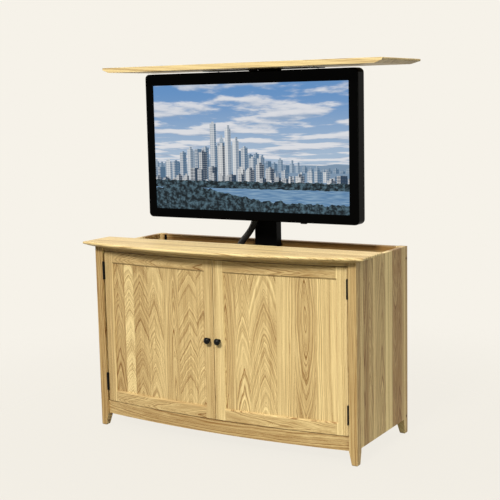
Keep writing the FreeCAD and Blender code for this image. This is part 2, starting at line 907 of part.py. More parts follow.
def bevel_cutter(name, side):
    """The mitred bevel round a door's opening: an upright wedge-sided slice of the bow,
    shared with a ring turned round the bow's own axis."""
    sides = new_body(name + "_sides")
    left, right = mirrored_span(side, MEETING_SHOULDER, HINGE_SHOULDER)
    past = "1"
    flare = f"(dim.frame_bevel + {past})"
    section = sketch_on(sides, "XY_Plane", name + "_plan")
    corners = [
        bow_point(f"{left} - {flare}", f"-{past}"),
        bow_point(f"{right} + {flare}", f"-{past}"),
        bow_point(right, "dim.frame_bevel"),
        bow_point(left, "dim.frame_bevel"),
    ]
    outline(section, corners, {0: bow_arc(f"-{past}"), 2: bow_arc("dim.frame_bevel")})
    pad(sides, section, f"{OPENING[1]} - {OPENING[0]} + 2 * {flare}")
    place(sides, z=f"{OPENING[0]} - {flare}")

    ring = new_body(name + "_ring")
    profile = outline(
        sketch_on(ring, "XZ_Plane", name + "_profile"),
        [
            (f"{BOW_RADIUS} - dim.frame_bevel", OPENING[0]),
            (f"{BOW_RADIUS} + {past}", f"{OPENING[0]} - {flare}"),
            (f"{BOW_RADIUS} + {past}", f"{OPENING[1]} + {flare}"),
            (f"{BOW_RADIUS} - dim.frame_bevel", OPENING[1]),
        ],
    )
    turned = ring.newObject("PartDesign::Revolution", name + "_turned")
    turned.Profile = profile
    turned.ReferenceAxis = (profile, ["V_Axis"])
    turned.Midplane = True
    turned.setExpression("Angle", f"4 * asin({BETWEEN_POSTS} / {BOW_RADIUS})")
    place(ring, y=BOW_CENTRE, turn=(Vector(0, 0, 1), -90))
    cutter = DOC.addObject("Part::Common", name)
    cutter.Base = sides
    cutter.Tool = ring
    return cutter


def turned_knob(name, side):
    """A round knob: foot, waist and domed cap turned as one."""
    body = new_body(name)
    half, waist, foot = "(dim.knob_size / 2)", "dim.knob_neck / 2", "(dim.knob_foot / 2)"
    neck = "(dim.knob_foot_height + dim.knob_neck_height)"
    flare = f"({neck} + dim.knob_flare_height)"
    rim = f"({flare} + dim.knob_rim_height)"
    rise = f"(dim.knob_reach - {rim})"
    dome = f"(({half}^2 + {rise}^2) / (2 * {rise}))"
    profile = outline(
        sketch_on(body, "XY_Plane", name + "_profile"),
        [
            ("0", "0"),
            (foot, "0"),
            (waist, "-dim.knob_foot_height"),
            (waist, f"-{neck}"),
            (half, f"-{flare}"),
            (half, f"-{rim}"),
            ("0", "-dim.knob_reach"),
        ],
        {5: (dome, "0", f"-dim.knob_reach + {dome}")},
    )
    turned = body.newObject("PartDesign::Revolution", name + "_turned")
    turned.Profile = profile
    turned.ReferenceAxis = (profile, ["V_Axis"])
    turned.Angle = 360
    middle = f"({MEETING_EDGE} + dim.stile_width / 2)"
    x = f"-{middle}" if side == "left" else middle
    y = bow_point(f"({middle} - {foot})", "0")[1]
    return place(body, x, y, f"({DOOR_BOTTOM} + {DOOR_TOP}) / 2")


def door(side):
    """A bowed frame-and-panel door with its knob, hinge leaves and strike."""
    name = f"{side}_door"
    bevel = bevel_cutter(name + "_bevel", side)
    hung = stile(name + "_hung", side, HINGE_SHOULDER, HINGE_EDGE, "+")
    free = stile(name + "_free", side, MEETING_SHOULDER, MEETING_EDGE, "-")
    let_in = [c for (s, _), h in HINGES.items() if s == side for c in h["door_cutters"]]
    keep(without(name + "_hung_cut", hung, bevel, *let_in), name + "_hinge_stile")
    keep(without(name + "_free_cut", free, bevel), name + "_meeting_stile")
    top_rail = door_rail(name + "_top", side, OPENING[1], groove_on_top=False)
    keep(without(name + "_top_cut", top_rail, bevel), name + "_top_rail")
    bottom_rail = door_rail(name + "_bottom", side, DOOR_BOTTOM, groove_on_top=True)
    keep(without(name + "_bottom_cut", bottom_rail, bevel), name + "_bottom_rail")
    panel = bowed_board(
        name + "_flat",
        mirrored_span(side, f"{MEETING_SHOULDER} - {PANEL_REACH}", f"{HINGE_SHOULDER} + {PANEL_REACH}"),
        PANEL_INSET,
        (f"{OPENING[0]} - {PANEL_REACH}", f"{OPENING[1]} + {PANEL_REACH}"),
    )
    keep(panel, name + "_panel")
    keep(turned_knob(name + "_turned_knob", side), name + "_knob")
    leaves = [h["door_leaf"] for (s, _), h in HINGES.items() if s == side]
    keep(grouped(name + "_leaves", leaves), name + "_hinge_leaves")
    strike = bowed_board(
        name + "_plate",
        mirrored_span(
            side,
            "dim.catch_reach - dim.strike_width / 2",
            "dim.catch_reach + dim.strike_width / 2",
        ),
        ("dim.door_thick + dim.screw_fit", "dim.door_thick + dim.screw_fit + dim.strike_thick"),
        (f"{CATCH_MIDDLE} - dim.strike_height / 2", f"{CATCH_MIDDLE} + dim.strike_height / 2"),
    )
    keep(strike, name + "_strike")


CATCH_TOP = "(dim.carcass_height - dim.upper_rail_height)"
CATCH_MIDDLE = f"({DOOR_TOP} - dim.strike_height / 2 - dim.door_gap / 2)"
for door_side in SIDES:
    door(door_side)

catches = []
for catch_side in SIDES:
    magnet_face = "(dim.door_thick + dim.screw_fit + dim.strike_thick + dim.catch_gap)"
    catches.append(
        bowed_board(
            f"{catch_side}_catch",
            mirrored_span(
                catch_side,
                "dim.catch_reach - dim.catch_width / 2",
                "dim.catch_reach + dim.catch_width / 2",
            ),
            (magnet_face, f"{magnet_face} + dim.catch_depth"),
            (f"{CATCH_TOP} - dim.catch_height", CATCH_TOP),
        )
    )
keep(grouped("catch_pair", catches), "magnetic_catches")


# --------------------------------------------------------------------------- the lift column
COLUMN_Y = f"({BACK} - dim.column_set)"
BASE_TOP = f"({FLOOR_TOP} + dim.base_thick)"
OUTER_TOP = "(dim.carcass_height - dim.outer_drop)"
PLATE_TOP = f"({LID_BOTTOM} - dim.bracket_height)"
INNER_TOP = f"({PLATE_TOP} - dim.plate_thick)"
INNER_BOTTOM = f"({BASE_TOP} + dim.inner_lift + dim.lift_travel)"
MIDDLE_TOP = f"({INNER_TOP} - dim.lift_travel / 2 - dim.middle_drop)"
MIDDLE_BOTTOM = f"({BASE_TOP} + dim.middle_lift + dim.lift_travel / 2)"


def tube(name, outside, inside, z, corner="dim.corner_round / 2"):
    """An upright tube of rectangular section round the column's middle, with round corners.
    outside and inside are (width, depth)."""
    body = new_body(name)
    length = f"({z[1]}) - ({z[0]})"
    section = rectangle(
        sketch_on(body, "XY_Plane", name + "_outside"),
        centred(outside[0]),
        centred(outside[1]),
    )
    solid = pad(body, section, length)
    eased(body, solid, running_along(Vector(0, 0, 1)), corner, name + "_corners")
    hollow = rectangle(
        sketch_on(body, "XY_Plane", name + "_inside"),
        centred(inside[0]),
        centred(inside[1]),
    )
    pocket(body, hollow, forwards=True)
    return place(body, y=COLUMN_Y, z=z[0])


def inside_of(width, depth):
    """The inner width and depth of a column of this outer width and depth."""
    return (f"{width} - 2 * dim.column_wall", f"{depth} - 2 * dim.column_wall")


def less_gap(size):
    """A width and depth made smaller all round by the running gap."""
    return tuple(f"{value} - 2 * dim.glide_gap" for value in size)


OUTER = ("dim.outer_width", "dim.outer_depth")
MIDDLE = ("dim.middle_width", "dim.middle_depth")
INNER = ("dim.inner_width", "dim.inner_depth")

base = block(
    "base",
    ("-dim.base_width / 2", "dim.base_width / 2"),
    (f"{COLUMN_Y} - dim.base_depth / 2", f"{COLUMN_Y} + dim.base_depth / 2"),
    (FLOOR_TOP, BASE_TOP),
)
outer_tube = tube("outer", OUTER, inside_of(*OUTER), (BASE_TOP, OUTER_TOP), "dim.corner_round")
keep(joined("outer_on_base", [base, outer_tube]), "lift_outer_column")
keep(tube("middle", MIDDLE, inside_of(*MIDDLE), (MIDDLE_BOTTOM, MIDDLE_TOP)), "lift_middle_column")
keep(tube("inner", INNER, inside_of(*INNER), (INNER_BOTTOM, INNER_TOP)), "lift_inner_column")
glide_levels = {
    "middle": (OUTER, MIDDLE, MIDDLE_BOTTOM),
    "inner": (MIDDLE, INNER, INNER_BOTTOM),
}
for stage, (around, carried, level) in glide_levels.items():
    span = (level, f"{level} + dim.glide_height")
    glide = tube(f"{stage}_glide", less_gap(inside_of(*around)), carried, span)
    keep(glide, f"{stage}_column_glide")
keep(
    block(
        "strap",
        ("-dim.strap_width / 2", "dim.strap_width / 2"),
        (f"{COLUMN_Y} + dim.outer_depth / 2", BACK_RAIL_FRONT),
        (f"{OUTER_TOP} - dim.strap_overlap", f"{UPPER_RAIL_BOTTOM} + dim.back_rail_height / 2"),
    ),
    "lift_back_strap",
)

GEARBOX_X = ("dim.outer_width / 2", "(dim.outer_width / 2 + dim.gearbox_width)")
GEARBOX_TOP = f"({BASE_TOP} + dim.gearbox_height)"
gearbox = block(
    "gearbox",
    GEARBOX_X,
    (f"{COLUMN_Y} - dim.gearbox_depth / 2", f"{COLUMN_Y} + dim.gearbox_depth / 2"),
    (BASE_TOP, GEARBOX_TOP),
)
motor_at = (f"({GEARBOX_X[0]} + {GEARBOX_X[1]}) / 2", COLUMN_Y)
motor_can = rod("motor_can", (*motor_at, GEARBOX_TOP), "dim.motor_size", "dim.motor_length")
motor_cap = rod(
    "motor_cap",
    (*motor_at, f"{GEARBOX_TOP} + dim.motor_length"),
    "dim.motor_cap_size",
    "dim.motor_cap_height",
)
keep(joined("motor", [gearbox, motor_can, motor_cap]), "lift_motor")


def control_box():
    """The lift's control box: a moulded case with eased upright edges on the floor."""
    body = new_body("control")
    half_depth = "dim.control_depth / 2"
    section = rectangle(
        sketch_on(body, "XY_Plane", "control_section"),
        ("0", "dim.control_width"),
        (f"-{half_depth}", half_depth),
    )
    case = pad(body, section, "dim.control_height")
    floor = level_at(0)
    eased(body, case, lambda edge: not floor(edge), "dim.corner_round / 2", "control_ease")
    reach = f"{BETWEEN_POSTS} - dim.control_margin - dim.control_width"
    return place(body, reach, COLUMN_Y, FLOOR_TOP)


keep(control_box(), "lift_control_box")

# -------------------------------------------------------------------------- television mount
TV_FRONT = f"({FRONT} + dim.tv_set)"
TV_BACK = f"({TV_FRONT} + dim.bezel_depth + dim.cover_depth)"
TV_TOP = f"({LID_BOTTOM} - dim.tv_lid_gap)"
TV_BOTTOM = f"({TV_TOP} - dim.tv_height)"
TV_MIDDLE = f"(({TV_TOP} + {TV_BOTTOM}) / 2)"
ARM_BACK = f"({TV_BACK} + dim.arm_depth)"
CROSSBAR_BACK = f"({ARM_BACK} + dim.crossbar_thick)"
PLATE_BOTTOM = f"({TV_MIDDLE} - (dim.crossbar_spacing + dim.crossbar_height) / 2 - dim.plate_margin)"


def upright_plate(name, corners, width):
    """A bent plate: its side outline, (y, z) corners, extruded both ways along X."""
    body = new_body(name)
    section = outline(sketch_on(body, "YZ_Plane", name + "_section"), corners)
    plate = pad(body, section, width, both_ways=True)
    return body, plate


drop_plate, flat_plate = upright_plate(
    "plate",
    [
        (CROSSBAR_BACK, PLATE_TOP),
        (CROSSBAR_BACK, PLATE_BOTTOM),
        (f"{CROSSBAR_BACK} + dim.plate_thick", PLATE_BOTTOM),
        (f"{CROSSBAR_BACK} + dim.plate_thick", INNER_TOP),
        (f"{COLUMN_Y} + dim.inner_depth / 2", INNER_TOP),
        (f"{COLUMN_Y} + dim.inner_depth / 2", PLATE_TOP),
    ],
    "dim.plate_width",
)


def outer_bend(edge):
    """Whether an edge is the outside of the plate's bend."""
    in_front = all(near(vertex.Y, number(CROSSBAR_BACK)) for vertex in edge.Vertexes)
    return in_front and level_at(number(PLATE_TOP))(edge)


eased(drop_plate, flat_plate, outer_bend, "dim.plate_bend", "plate_bend")


def crossbar(name, z):
    """A slotted flat bar across the back of the arms."""
    body = new_body(name)
    section = sketch_on(body, "XZ_Plane", name + "_section")
    half, rise = "dim.crossbar_length / 2", "dim.crossbar_height / 2"
    rectangle(section, (f"-{half}", half), (f"-{rise}", rise))
    slot = "dim.crossbar_slot / 2"
    for end in ("-", ""):
        near_end = f"{end}(dim.plate_width / 2 + dim.crossbar_slot)"
        far_end = f"{end}(dim.plate_width / 2 + dim.crossbar_slot + dim.crossbar_slot_length)"
        rectangle(section, (near_end, far_end), (f"-{slot}", slot))
    pad(body, section, "dim.crossbar_thick")
    return place(body, y=CROSSBAR_BACK, z=z)


crossbars = [
    crossbar("upper_crossbar", f"{TV_MIDDLE} + dim.crossbar_spacing / 2"),
    crossbar("lower_crossbar", f"{TV_MIDDLE} - dim.crossbar_spacing / 2"),
]


def arm(side):
    """An upright channel on the television's back, open towards it."""
    name = f"{side}_arm"
    body = new_body(name)
    half, wall, depth = "dim.arm_width / 2", "dim.arm_wall", "dim.arm_depth"
    section = outline(
        sketch_on(body, "XY_Plane", name + "_section"),
        [
            (f"-{half}", "0"),
            (f"-{half} + {wall}", "0"),
            (f"-{half} + {wall}", f"{depth} - {wall}"),
            (f"{half} - {wall}", f"{depth} - {wall}"),
            (f"{half} - {wall}", "0"),
            (half, "0"),
            (half, depth),
            (f"-{half}", depth),
        ],
    )
    pad(body, section, "dim.arm_bolt_spacing + 2 * dim.arm_end")
    sign = "-" if side == "left" else ""
    bottom = f"{TV_MIDDLE} - dim.arm_bolt_spacing / 2 - dim.arm_end"
    return place(body, f"{sign}dim.arm_spacing / 2", TV_BACK, bottom)


BOLT_CAP = ("dim.bolt_head_size", "dim.bolt_head_height")
bolts = []
bolt_holes = []
bosses = []


def bolt(x, y, z, length):
    """A bolt put in from behind, and the hole that it sits in."""
    label = f"bolt_{len(bolts)}"
    bolts.append(screw(label, (x, y, z), "-y", length, "dim.bolt_size", BOLT_CAP))
    bolt_holes.append(bored(label + "_hole", (x, y, z), "-y", length, "dim.bolt_size"))


for sign in ("-", ""):
    arm_x = f"{sign}dim.arm_spacing / 2"
    for level in ("-", "+"):
        arm_z = f"{TV_MIDDLE} {level} dim.arm_bolt_spacing / 2"
        boss_length = "dim.cover_depth - dim.cover_wall"
        bosses.append(
            rod(f"boss_{len(bosses)}", (arm_x, TV_BACK, arm_z), "dim.boss_size", boss_length, "-y")
        )
        bolt(arm_x, ARM_BACK, arm_z, "dim.arm_depth + dim.bolt_bite")
        bar_z = f"{TV_MIDDLE} {level} dim.crossbar_spacing / 2"
        bolt(arm_x, CROSSBAR_BACK, bar_z, "dim.crossbar_thick + dim.arm_wall")
        plate_x = f"{sign}dim.plate_bolt_reach"
        bolt(plate_x, f"{CROSSBAR_BACK} + dim.plate_thick", bar_z, "dim.plate_thick + dim.crossbar_thick")
keep(grouped("bolt_group", bolts), "mount_bolts")
bolt_hole_group = grouped("bolt_hole_group", bolt_holes)
arms = grouped("arm_pair", [arm(arm_side) for arm_side in SIDES])
keep(without("arms_bored", arms, bolt_hole_group), "mount_arms")
keep(without("crossbars_bored", grouped("crossbar_pair", crossbars), bolt_hole_group), "mount_crossbars")
keep(without("plate_bored", drop_plate, bolt_hole_group), "lift_drop_plate")

# ------------------------------------------------------------------------ lid and its bracket
FLANGE_BOTTOM = f"({LID_BOTTOM} - dim.bracket_thick)"
FOOT_TOP = f"({PLATE_TOP} + dim.bracket_thick)"
WEB = (f"({COLUMN_Y} - dim.bracket_thick / 2)", f"({COLUMN_Y} + dim.bracket_thick / 2)")
FOOT = (f"({COLUMN_Y} - dim.bracket_foot / 2)", f"({COLUMN_Y} + dim.bracket_foot / 2)")
FLANGE_FRONT = f"({COLUMN_Y} - dim.bracket_front)"
FLANGE_BACK = f"({COLUMN_Y} + dim.bracket_back)"
lid_screws = []
lid_holes = []
for step in (-1, 0, 1):
    for depth in (f"{FLANGE_FRONT} + dim.screw_head_size", f"{FLANGE_BACK} - dim.screw_head_size"):
        label = f"lid_screw_{len(lid_screws)}"
        at = (f"(dim.bracket_width / 2 - dim.bracket_screw_margin) * {step}", depth, FLANGE_BOTTOM)
        lid_screws.append(screw(label, at, "+z", "dim.screw_length"))
        lid_holes.append(bored(label + "_hole", at, "+z", "dim.screw_length"))
lid_hole_group = grouped("lid_hole_group", lid_holes)
keep(grouped("lid_screw_group", lid_screws), "lid_screws")
bracket_stand, _ = upright_plate(
    "bracket_stand",
    [
        (FOOT[0], PLATE_TOP),
        (FOOT[1], PLATE_TOP),
        (FOOT[1], FOOT_TOP),
        (WEB[1], FOOT_TOP),
        (WEB[1], FLANGE_BOTTOM),
        (WEB[0], FLANGE_BOTTOM),
        (WEB[0], FOOT_TOP),
        (FOOT[0], FOOT_TOP),
    ],
    "dim.bracket_stand",
)
bracket_flange = block(
    "bracket_flange",
    ("-dim.bracket_width / 2", "dim.bracket_width / 2"),
    (FLANGE_FRONT, FLANGE_BACK),
    (FLANGE_BOTTOM, LID_BOTTOM),
)
bracket = joined("bracket", [bracket_stand, bracket_flange])
keep(without("bracket_bored", bracket, lid_hole_group), "lid_bracket")
keep(without("lid_bored", lid_blank, lid_hole_group), "lid_board")


# -------------------------------------------------------------------------------- television
def rounded_rectangle(sketch, width, height, corner):
    """A rectangle about the origin with round corners, all sizes as expressions."""
    x, y, r = f"(({width}) / 2)", f"(({height}) / 2)", f"({corner})"
    corners = [
        (f"-{x} + {r}", f"-{y}"),
        (f"{x} - {r}", f"-{y}"),
        (x, f"-{y} + {r}"),
        (x, f"{y} - {r}"),
        (f"{x} - {r}", y),
        (f"-{x} + {r}", y),
        (f"-{x}", f"{y} - {r}"),
        (f"-{x}", f"-{y} + {r}"),
    ]
    middle_x, middle_y = (f"-{x} + {r}", f"{x} - {r}"), (f"-{y} + {r}", f"{y} - {r}")
    arcs = {
        1: (corner, middle_x[1], middle_y[0]),
        3: (corner, middle_x[1], middle_y[1]),
        5: (corner, middle_x[0], middle_y[1]),
        7: (corner, middle_x[0], middle_y[0]),
    }
    return outline(sketch, corners, arcs)


def bezel():
    """The front frame: round corners, a rounded front edge, a lip in front of the screen and
    a wall that runs back round it."""
    body = new_body("bezel")
    outside = rounded_rectangle(
        sketch_on(body, "XZ_Plane", "bezel_outside"), "dim.tv_width", "dim.tv_height", "dim.bezel_corner"
    )
    slab = pad(body, outside, "dim.bezel_depth")
    front = -number("dim.bezel_depth")

    def on_front(edge):
        return all(near(vertex.Y, front) for vertex in edge.Vertexes)

    eased(body, slab, on_front, "dim.bezel_edge_round", "bezel_front_edge")
    hollow = rounded_rectangle(
        sketch_on(body, "XZ_Plane", "bezel_hollow"),
        "dim.tv_width - 2 * dim.bezel_wall",
        "dim.tv_height - 2 * dim.bezel_wall",
        "dim.bezel_corner - dim.bezel_wall",
    )
    pocket(body, hollow, "dim.bezel_depth - dim.bezel_lip", forwards=True)
    window = rectangle(
        sketch_on(body, "XZ_Plane", "bezel_window"),
        centred("dim.screen_width"),
        ("-dim.screen_height / 2 - dim.screen_drop", "dim.screen_height / 2 - dim.screen_drop"),
    )
    pocket(body, window, forwards=True)
    return place(body, y=f"{TV_FRONT} + dim.bezel_depth", z=TV_MIDDLE)


keep(bezel(), "tv_bezel")
SCREEN_MIDDLE = f"({TV_MIDDLE} - dim.screen_drop)"
screen_half = ("(dim.screen_width / 2 + dim.screen_lap)", "(dim.screen_height / 2 + dim.screen_lap)")
keep(
    block(
        "screen",
        (f"-{screen_half[0]}", screen_half[0]),
        (f"{TV_FRONT} + dim.bezel_lip", f"{TV_FRONT} + dim.bezel_lip + dim.screen_thick"),
        (f"{SCREEN_MIDDLE} - {screen_half[1]}", f"{SCREEN_MIDDLE} + {screen_half[1]}"),
    ),
    "tv_screen",
)


def cover_form(name, inset):
    """The rear cover's bulge, inset all round: a short rim, then a loft to the flat back."""
    body = new_body(name)
    less = f"(dim.cover_inset + {inset})"
    size = (f"dim.tv_width - 2 * {less}", f"dim.tv_height - 2 * {less}")
    corner = f"dim.bezel_corner - {less}"
    rim = rounded_rectangle(sketch_on(body, "XZ_Plane", name + "_rim"), *size, corner)
    pad(body, rim, "dim.cover_rim", backwards=True)
    base = sketch_on(body, "XZ_Plane", name + "_base", "-dim.cover_rim")
    rounded_rectangle(base, *size, corner)
    flat = sketch_on(body, "XZ_Plane", name + "_flat", f"-(dim.cover_depth - {inset})")
    flat_size = (f"dim.cover_back_width - 2 * {inset}", f"dim.cover_back_height - 2 * {inset}")
    rounded_rectangle(flat, *flat_size, f"dim.cover_back_corner - {inset}")
    loft = body.newObject("PartDesign::AdditiveLoft", name + "_loft")
    loft.Profile = base
    loft.Sections = [flat]
    return place(body, y=f"{TV_FRONT} + dim.bezel_depth", z=TV_MIDDLE)


cover_outside = cover_form("cover_outside", "0")
cover_shell = without("cover_shell", cover_outside, cover_form("cover_inside", "dim.cover_wall"))
cover = joined("cover", [cover_shell] + bosses)


def vents():
    """A row of shallow upright slots across the rear cover, one slot repeated along x."""
    body = new_body("vents")
    plane = sketch_on(body, "XZ_Plane", "vent_section")
    first = ("-dim.vent_reach - dim.vent_width / 2", "-dim.vent_reach + dim.vent_width / 2")
    slot = pad(body, rectangle(plane, first, ("0", "dim.vent_length")), "dim.vent_depth")
    row = body.newObject("PartDesign::LinearPattern", "vent_row")
    row.Originals = [slot]
    row.Direction = (plane, ["H_Axis"])
    row.setExpression("Length", "2 * dim.vent_reach")
    row.setExpression("Occurrences", "dim.vent_count")
    body.Tip = row
    return place(body, y=TV_BACK, z=f"{TV_MIDDLE} + dim.vent_rise")


keep(without("cover_bored", cover, bolt_hole_group, vents()), "tv_rear_cover")

sensor = block(
    "sensor",
    ("dim.sensor_reach - dim.sensor_width / 2", "dim.sensor_reach + dim.sensor_width / 2"),
    (f"{TV_FRONT} + dim.bezel_edge_round", f"{TV_FRONT} + dim.bezel_edge_round + dim.sensor_depth"),
    (f"{TV_BOTTOM} - dim.sensor_height", TV_BOTTOM),
)
keep(sensor, "tv_sensor")

# ---------------------------------------------------------------------------- the cable sleeve
# A braided sleeve from the television down to the floor. Its slack folds under the lift.
SLEEVE_ROUTE = [
    (-26, 152, 943),
    (-26, 152, 910),
    (-37, 155, 875),
    (-64, 158, 837),
    (-104, 160, 796),
    (-133, 163, 748),
    (-150, 166, 692),
    (-157, 168, 630),
    (-154, 170, 568),
    (-145, 172, 506),
    (-138, 171, 444),
    (-141, 169, 382),
    (-152, 168, 320),
    (-162, 170, 262),
    (-164, 172, 210),
    (-165, 172, 168),
    (-165, 172, 128.5),
]


def smooth_path(points):
    """A wire of straight runs joined by tangent arcs. Each arc takes 0.45 of the shorter of
    its two runs. Also gives the arcs' radii."""
    places = [Vector(*point) for point in points]
    edges = []
    radii = []
    start = places[0]
    for before, corner, after in zip(places, places[1:], places[2:]):
        back = before - corner
        ahead = after - corner
        reach = 0.45 * min(back.Length, ahead.Length)
        half_turn = (math.pi - back.getAngle(ahead)) / 2
        radius = reach / math.tan(half_turn)
        back.normalize()
        ahead.normalize()
        inward = (back + ahead).normalize()
        entry, leave = corner + back * reach, corner + ahead * reach
        crown = corner + inward * (radius / math.cos(half_turn) - radius)
        edges.append(Part.makeLine(start, entry))
        edges.append(Part.Arc(entry, crown, leave).toShape())
        radii.append(radius)
        start = leave
    edges.append(Part.makeLine(start, places[-1]))
    return Part.Wire(edges), radii


def cable_sleeve():
    """The sleeve as a plain round tube along its route."""
    path, radii = smooth_path(SLEEVE_ROUTE)
    radius = number("dim.sleeve_size / 2")
    start = Vector(*SLEEVE_ROUTE[0])
    ring = Part.Wire([Part.makeCircle(radius, start, Vector(*SLEEVE_ROUTE[1]) - start)])
    sleeve = DOC.addObject("Part::Feature", "sleeve")
    sleeve.Shape = path.makePipeShell([ring], True, False)
    section = math.pi * radius**2
    filled = sleeve.Shape.Volume / (section * path.Length)
    print("sleeve length", round(path.Length, 1), "volume ratio", round(filled, 4))
    print("sleeve radii", [round(r) for r in radii])
    return sleeve


keep(cable_sleeve(), "cable_sleeve")
GLAND_SIZE = "(dim.sleeve_size + 2 * dim.gland_wall)"
GLAND_BORE = "(dim.sleeve_size + 2 * dim.screw_fit)"
low_end = [str(value) for value in SLEEVE_ROUTE[-1]]
high_end = [str(value) for value in SLEEVE_ROUTE[0]]
floor_gland = joined(
    "floor_gland",
    [
        rod("gland_flange", (*low_end[:2], FLOOR_TOP), "dim.gland_flange", "dim.gland_wall"),
        rod("gland_collar", (*low_end[:2], FLOOR_TOP), GLAND_SIZE, "dim.gland_height"),
    ],
)
bore_bottom = f"{FLOOR_TOP} + dim.gland_height - dim.gland_bore"
floor_bore = rod("floor_bore", (*low_end[:2], bore_bottom), GLAND_BORE, "dim.gland_bore")
keep(without("floor_gland_bored", floor_gland, floor_bore), "floor_cable_gland")
tv_gland = block(
    "tv_gland",
    (f"{high_end[0]} - {GLAND_SIZE} / 2", f"{high_end[0]} + {GLAND_SIZE} / 2"),
    (f"{TV_FRONT} + dim.bezel_depth + dim.cover_rim", f"{high_end[1]} + {GLAND_SIZE} / 2"),
    (f"{TV_BOTTOM} + dim.gland_rise", f"{TV_BOTTOM} + dim.gland_rise + dim.gland_height"),
)
tv_bore = rod("tv_bore", (*high_end[:2], f"{TV_BOTTOM} + dim.gland_rise"), GLAND_BORE, "dim.gland_bore")
keep(without("tv_gland_bored", tv_gland, cover_outside, tv_bore), "tv_cable_gland")

# ------------------------------------------------------------------------------------ output
DOC.recompute()
for item in DOC.Objects:
    if "Invalid" in item.State or "Error" in item.State:
        raise RuntimeError(f"{item.Label} failed: {item.State}")
os.makedirs("parts", exist_ok=True)
for piece in NODES:
    shape = piece.Shape
    if shape.isNull() or not shape.isValid() or not shape.Solids:
        raise RuntimeError(f"{piece.Label} has no valid solid")
for piece in NODES:
    piece.Shape.exportStep(f"parts/{piece.Label}.step")
print(len(NODES), "pieces written")
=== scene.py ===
"""The finished look of a bow-front television lift cabinet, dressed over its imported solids."""

import json
import math

import bmesh
import bpy
import numpy as np
from mathutils import Matrix, Vector


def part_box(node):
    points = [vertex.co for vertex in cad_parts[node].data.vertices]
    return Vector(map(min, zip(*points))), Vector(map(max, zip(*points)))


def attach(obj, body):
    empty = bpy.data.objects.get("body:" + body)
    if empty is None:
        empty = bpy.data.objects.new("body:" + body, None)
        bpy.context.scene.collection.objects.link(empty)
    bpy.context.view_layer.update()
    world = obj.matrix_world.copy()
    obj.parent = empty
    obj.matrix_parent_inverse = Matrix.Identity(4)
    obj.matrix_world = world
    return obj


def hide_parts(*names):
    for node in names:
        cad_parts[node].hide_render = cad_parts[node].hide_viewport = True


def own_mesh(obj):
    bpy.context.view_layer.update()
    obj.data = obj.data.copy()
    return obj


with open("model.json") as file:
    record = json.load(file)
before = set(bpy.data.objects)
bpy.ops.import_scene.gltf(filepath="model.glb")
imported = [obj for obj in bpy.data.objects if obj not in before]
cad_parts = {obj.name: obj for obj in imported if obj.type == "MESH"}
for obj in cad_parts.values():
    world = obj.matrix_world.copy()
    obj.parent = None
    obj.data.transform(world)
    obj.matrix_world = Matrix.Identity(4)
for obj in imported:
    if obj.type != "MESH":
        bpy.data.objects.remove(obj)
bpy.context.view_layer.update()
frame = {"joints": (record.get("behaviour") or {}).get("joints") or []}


# ---------------------------------------------------------------- finishes, and the corner posts
# Four square posts of pale ash carry the cabinet. Their feet taper on the two inner faces
# and the foot edges are eased, then the whole carcass is finished in a satin clear lacquer.
class Term:
    """A value or vector in a node tree. Arithmetic on it adds Math nodes."""

    def __init__(self, nodes, socket):
        self.nodes = nodes
        self.socket = socket

    def output(self, name):
        """Another output of the node that this term comes from."""
        return Term(self.nodes, self.socket.node.outputs[name])

    def math(self, operation, *others):
        """A Math node with this term first and the others after it."""
        inputs = dict(enumerate((self, *others)))
        return self.nodes.node("ShaderNodeMath", {"operation": operation}, inputs)

    def __add__(self, other):
        return self.math("ADD", other)

    __radd__ = __add__

    def __mul__(self, other):
        return self.math("MULTIPLY", other)

    __rmul__ = __mul__

    def __sub__(self, other):
        return self.math("SUBTRACT", other)

    def __rsub__(self, other):
        return (self * -1).math("ADD", other)

    def __truediv__(self, other):
        return self.math("DIVIDE", other)

    def __pow__(self, power):
        return self.math("POWER", power)

    def __lt__(self, other):
        return self.math("LESS_THAN", other)

    def __gt__(self, other):
        return self.math("GREATER_THAN", other)

    def part(self):
        """What is left over a whole number."""
        return self.math("FRACT")

    def whole(self):
        """The whole number below."""
        return self.math("FLOOR")

    def size(self):
        """The number without its sign."""
        return self.math("ABSOLUTE")

    def ramp(self, low, high):
        """0 below low, 1 above high and a smooth rise between them."""
        settings = {"interpolation_type": "SMOOTHSTEP"}
        return self.nodes.node("ShaderNodeMapRange", settings, {0: self, 1: low, 2: high})


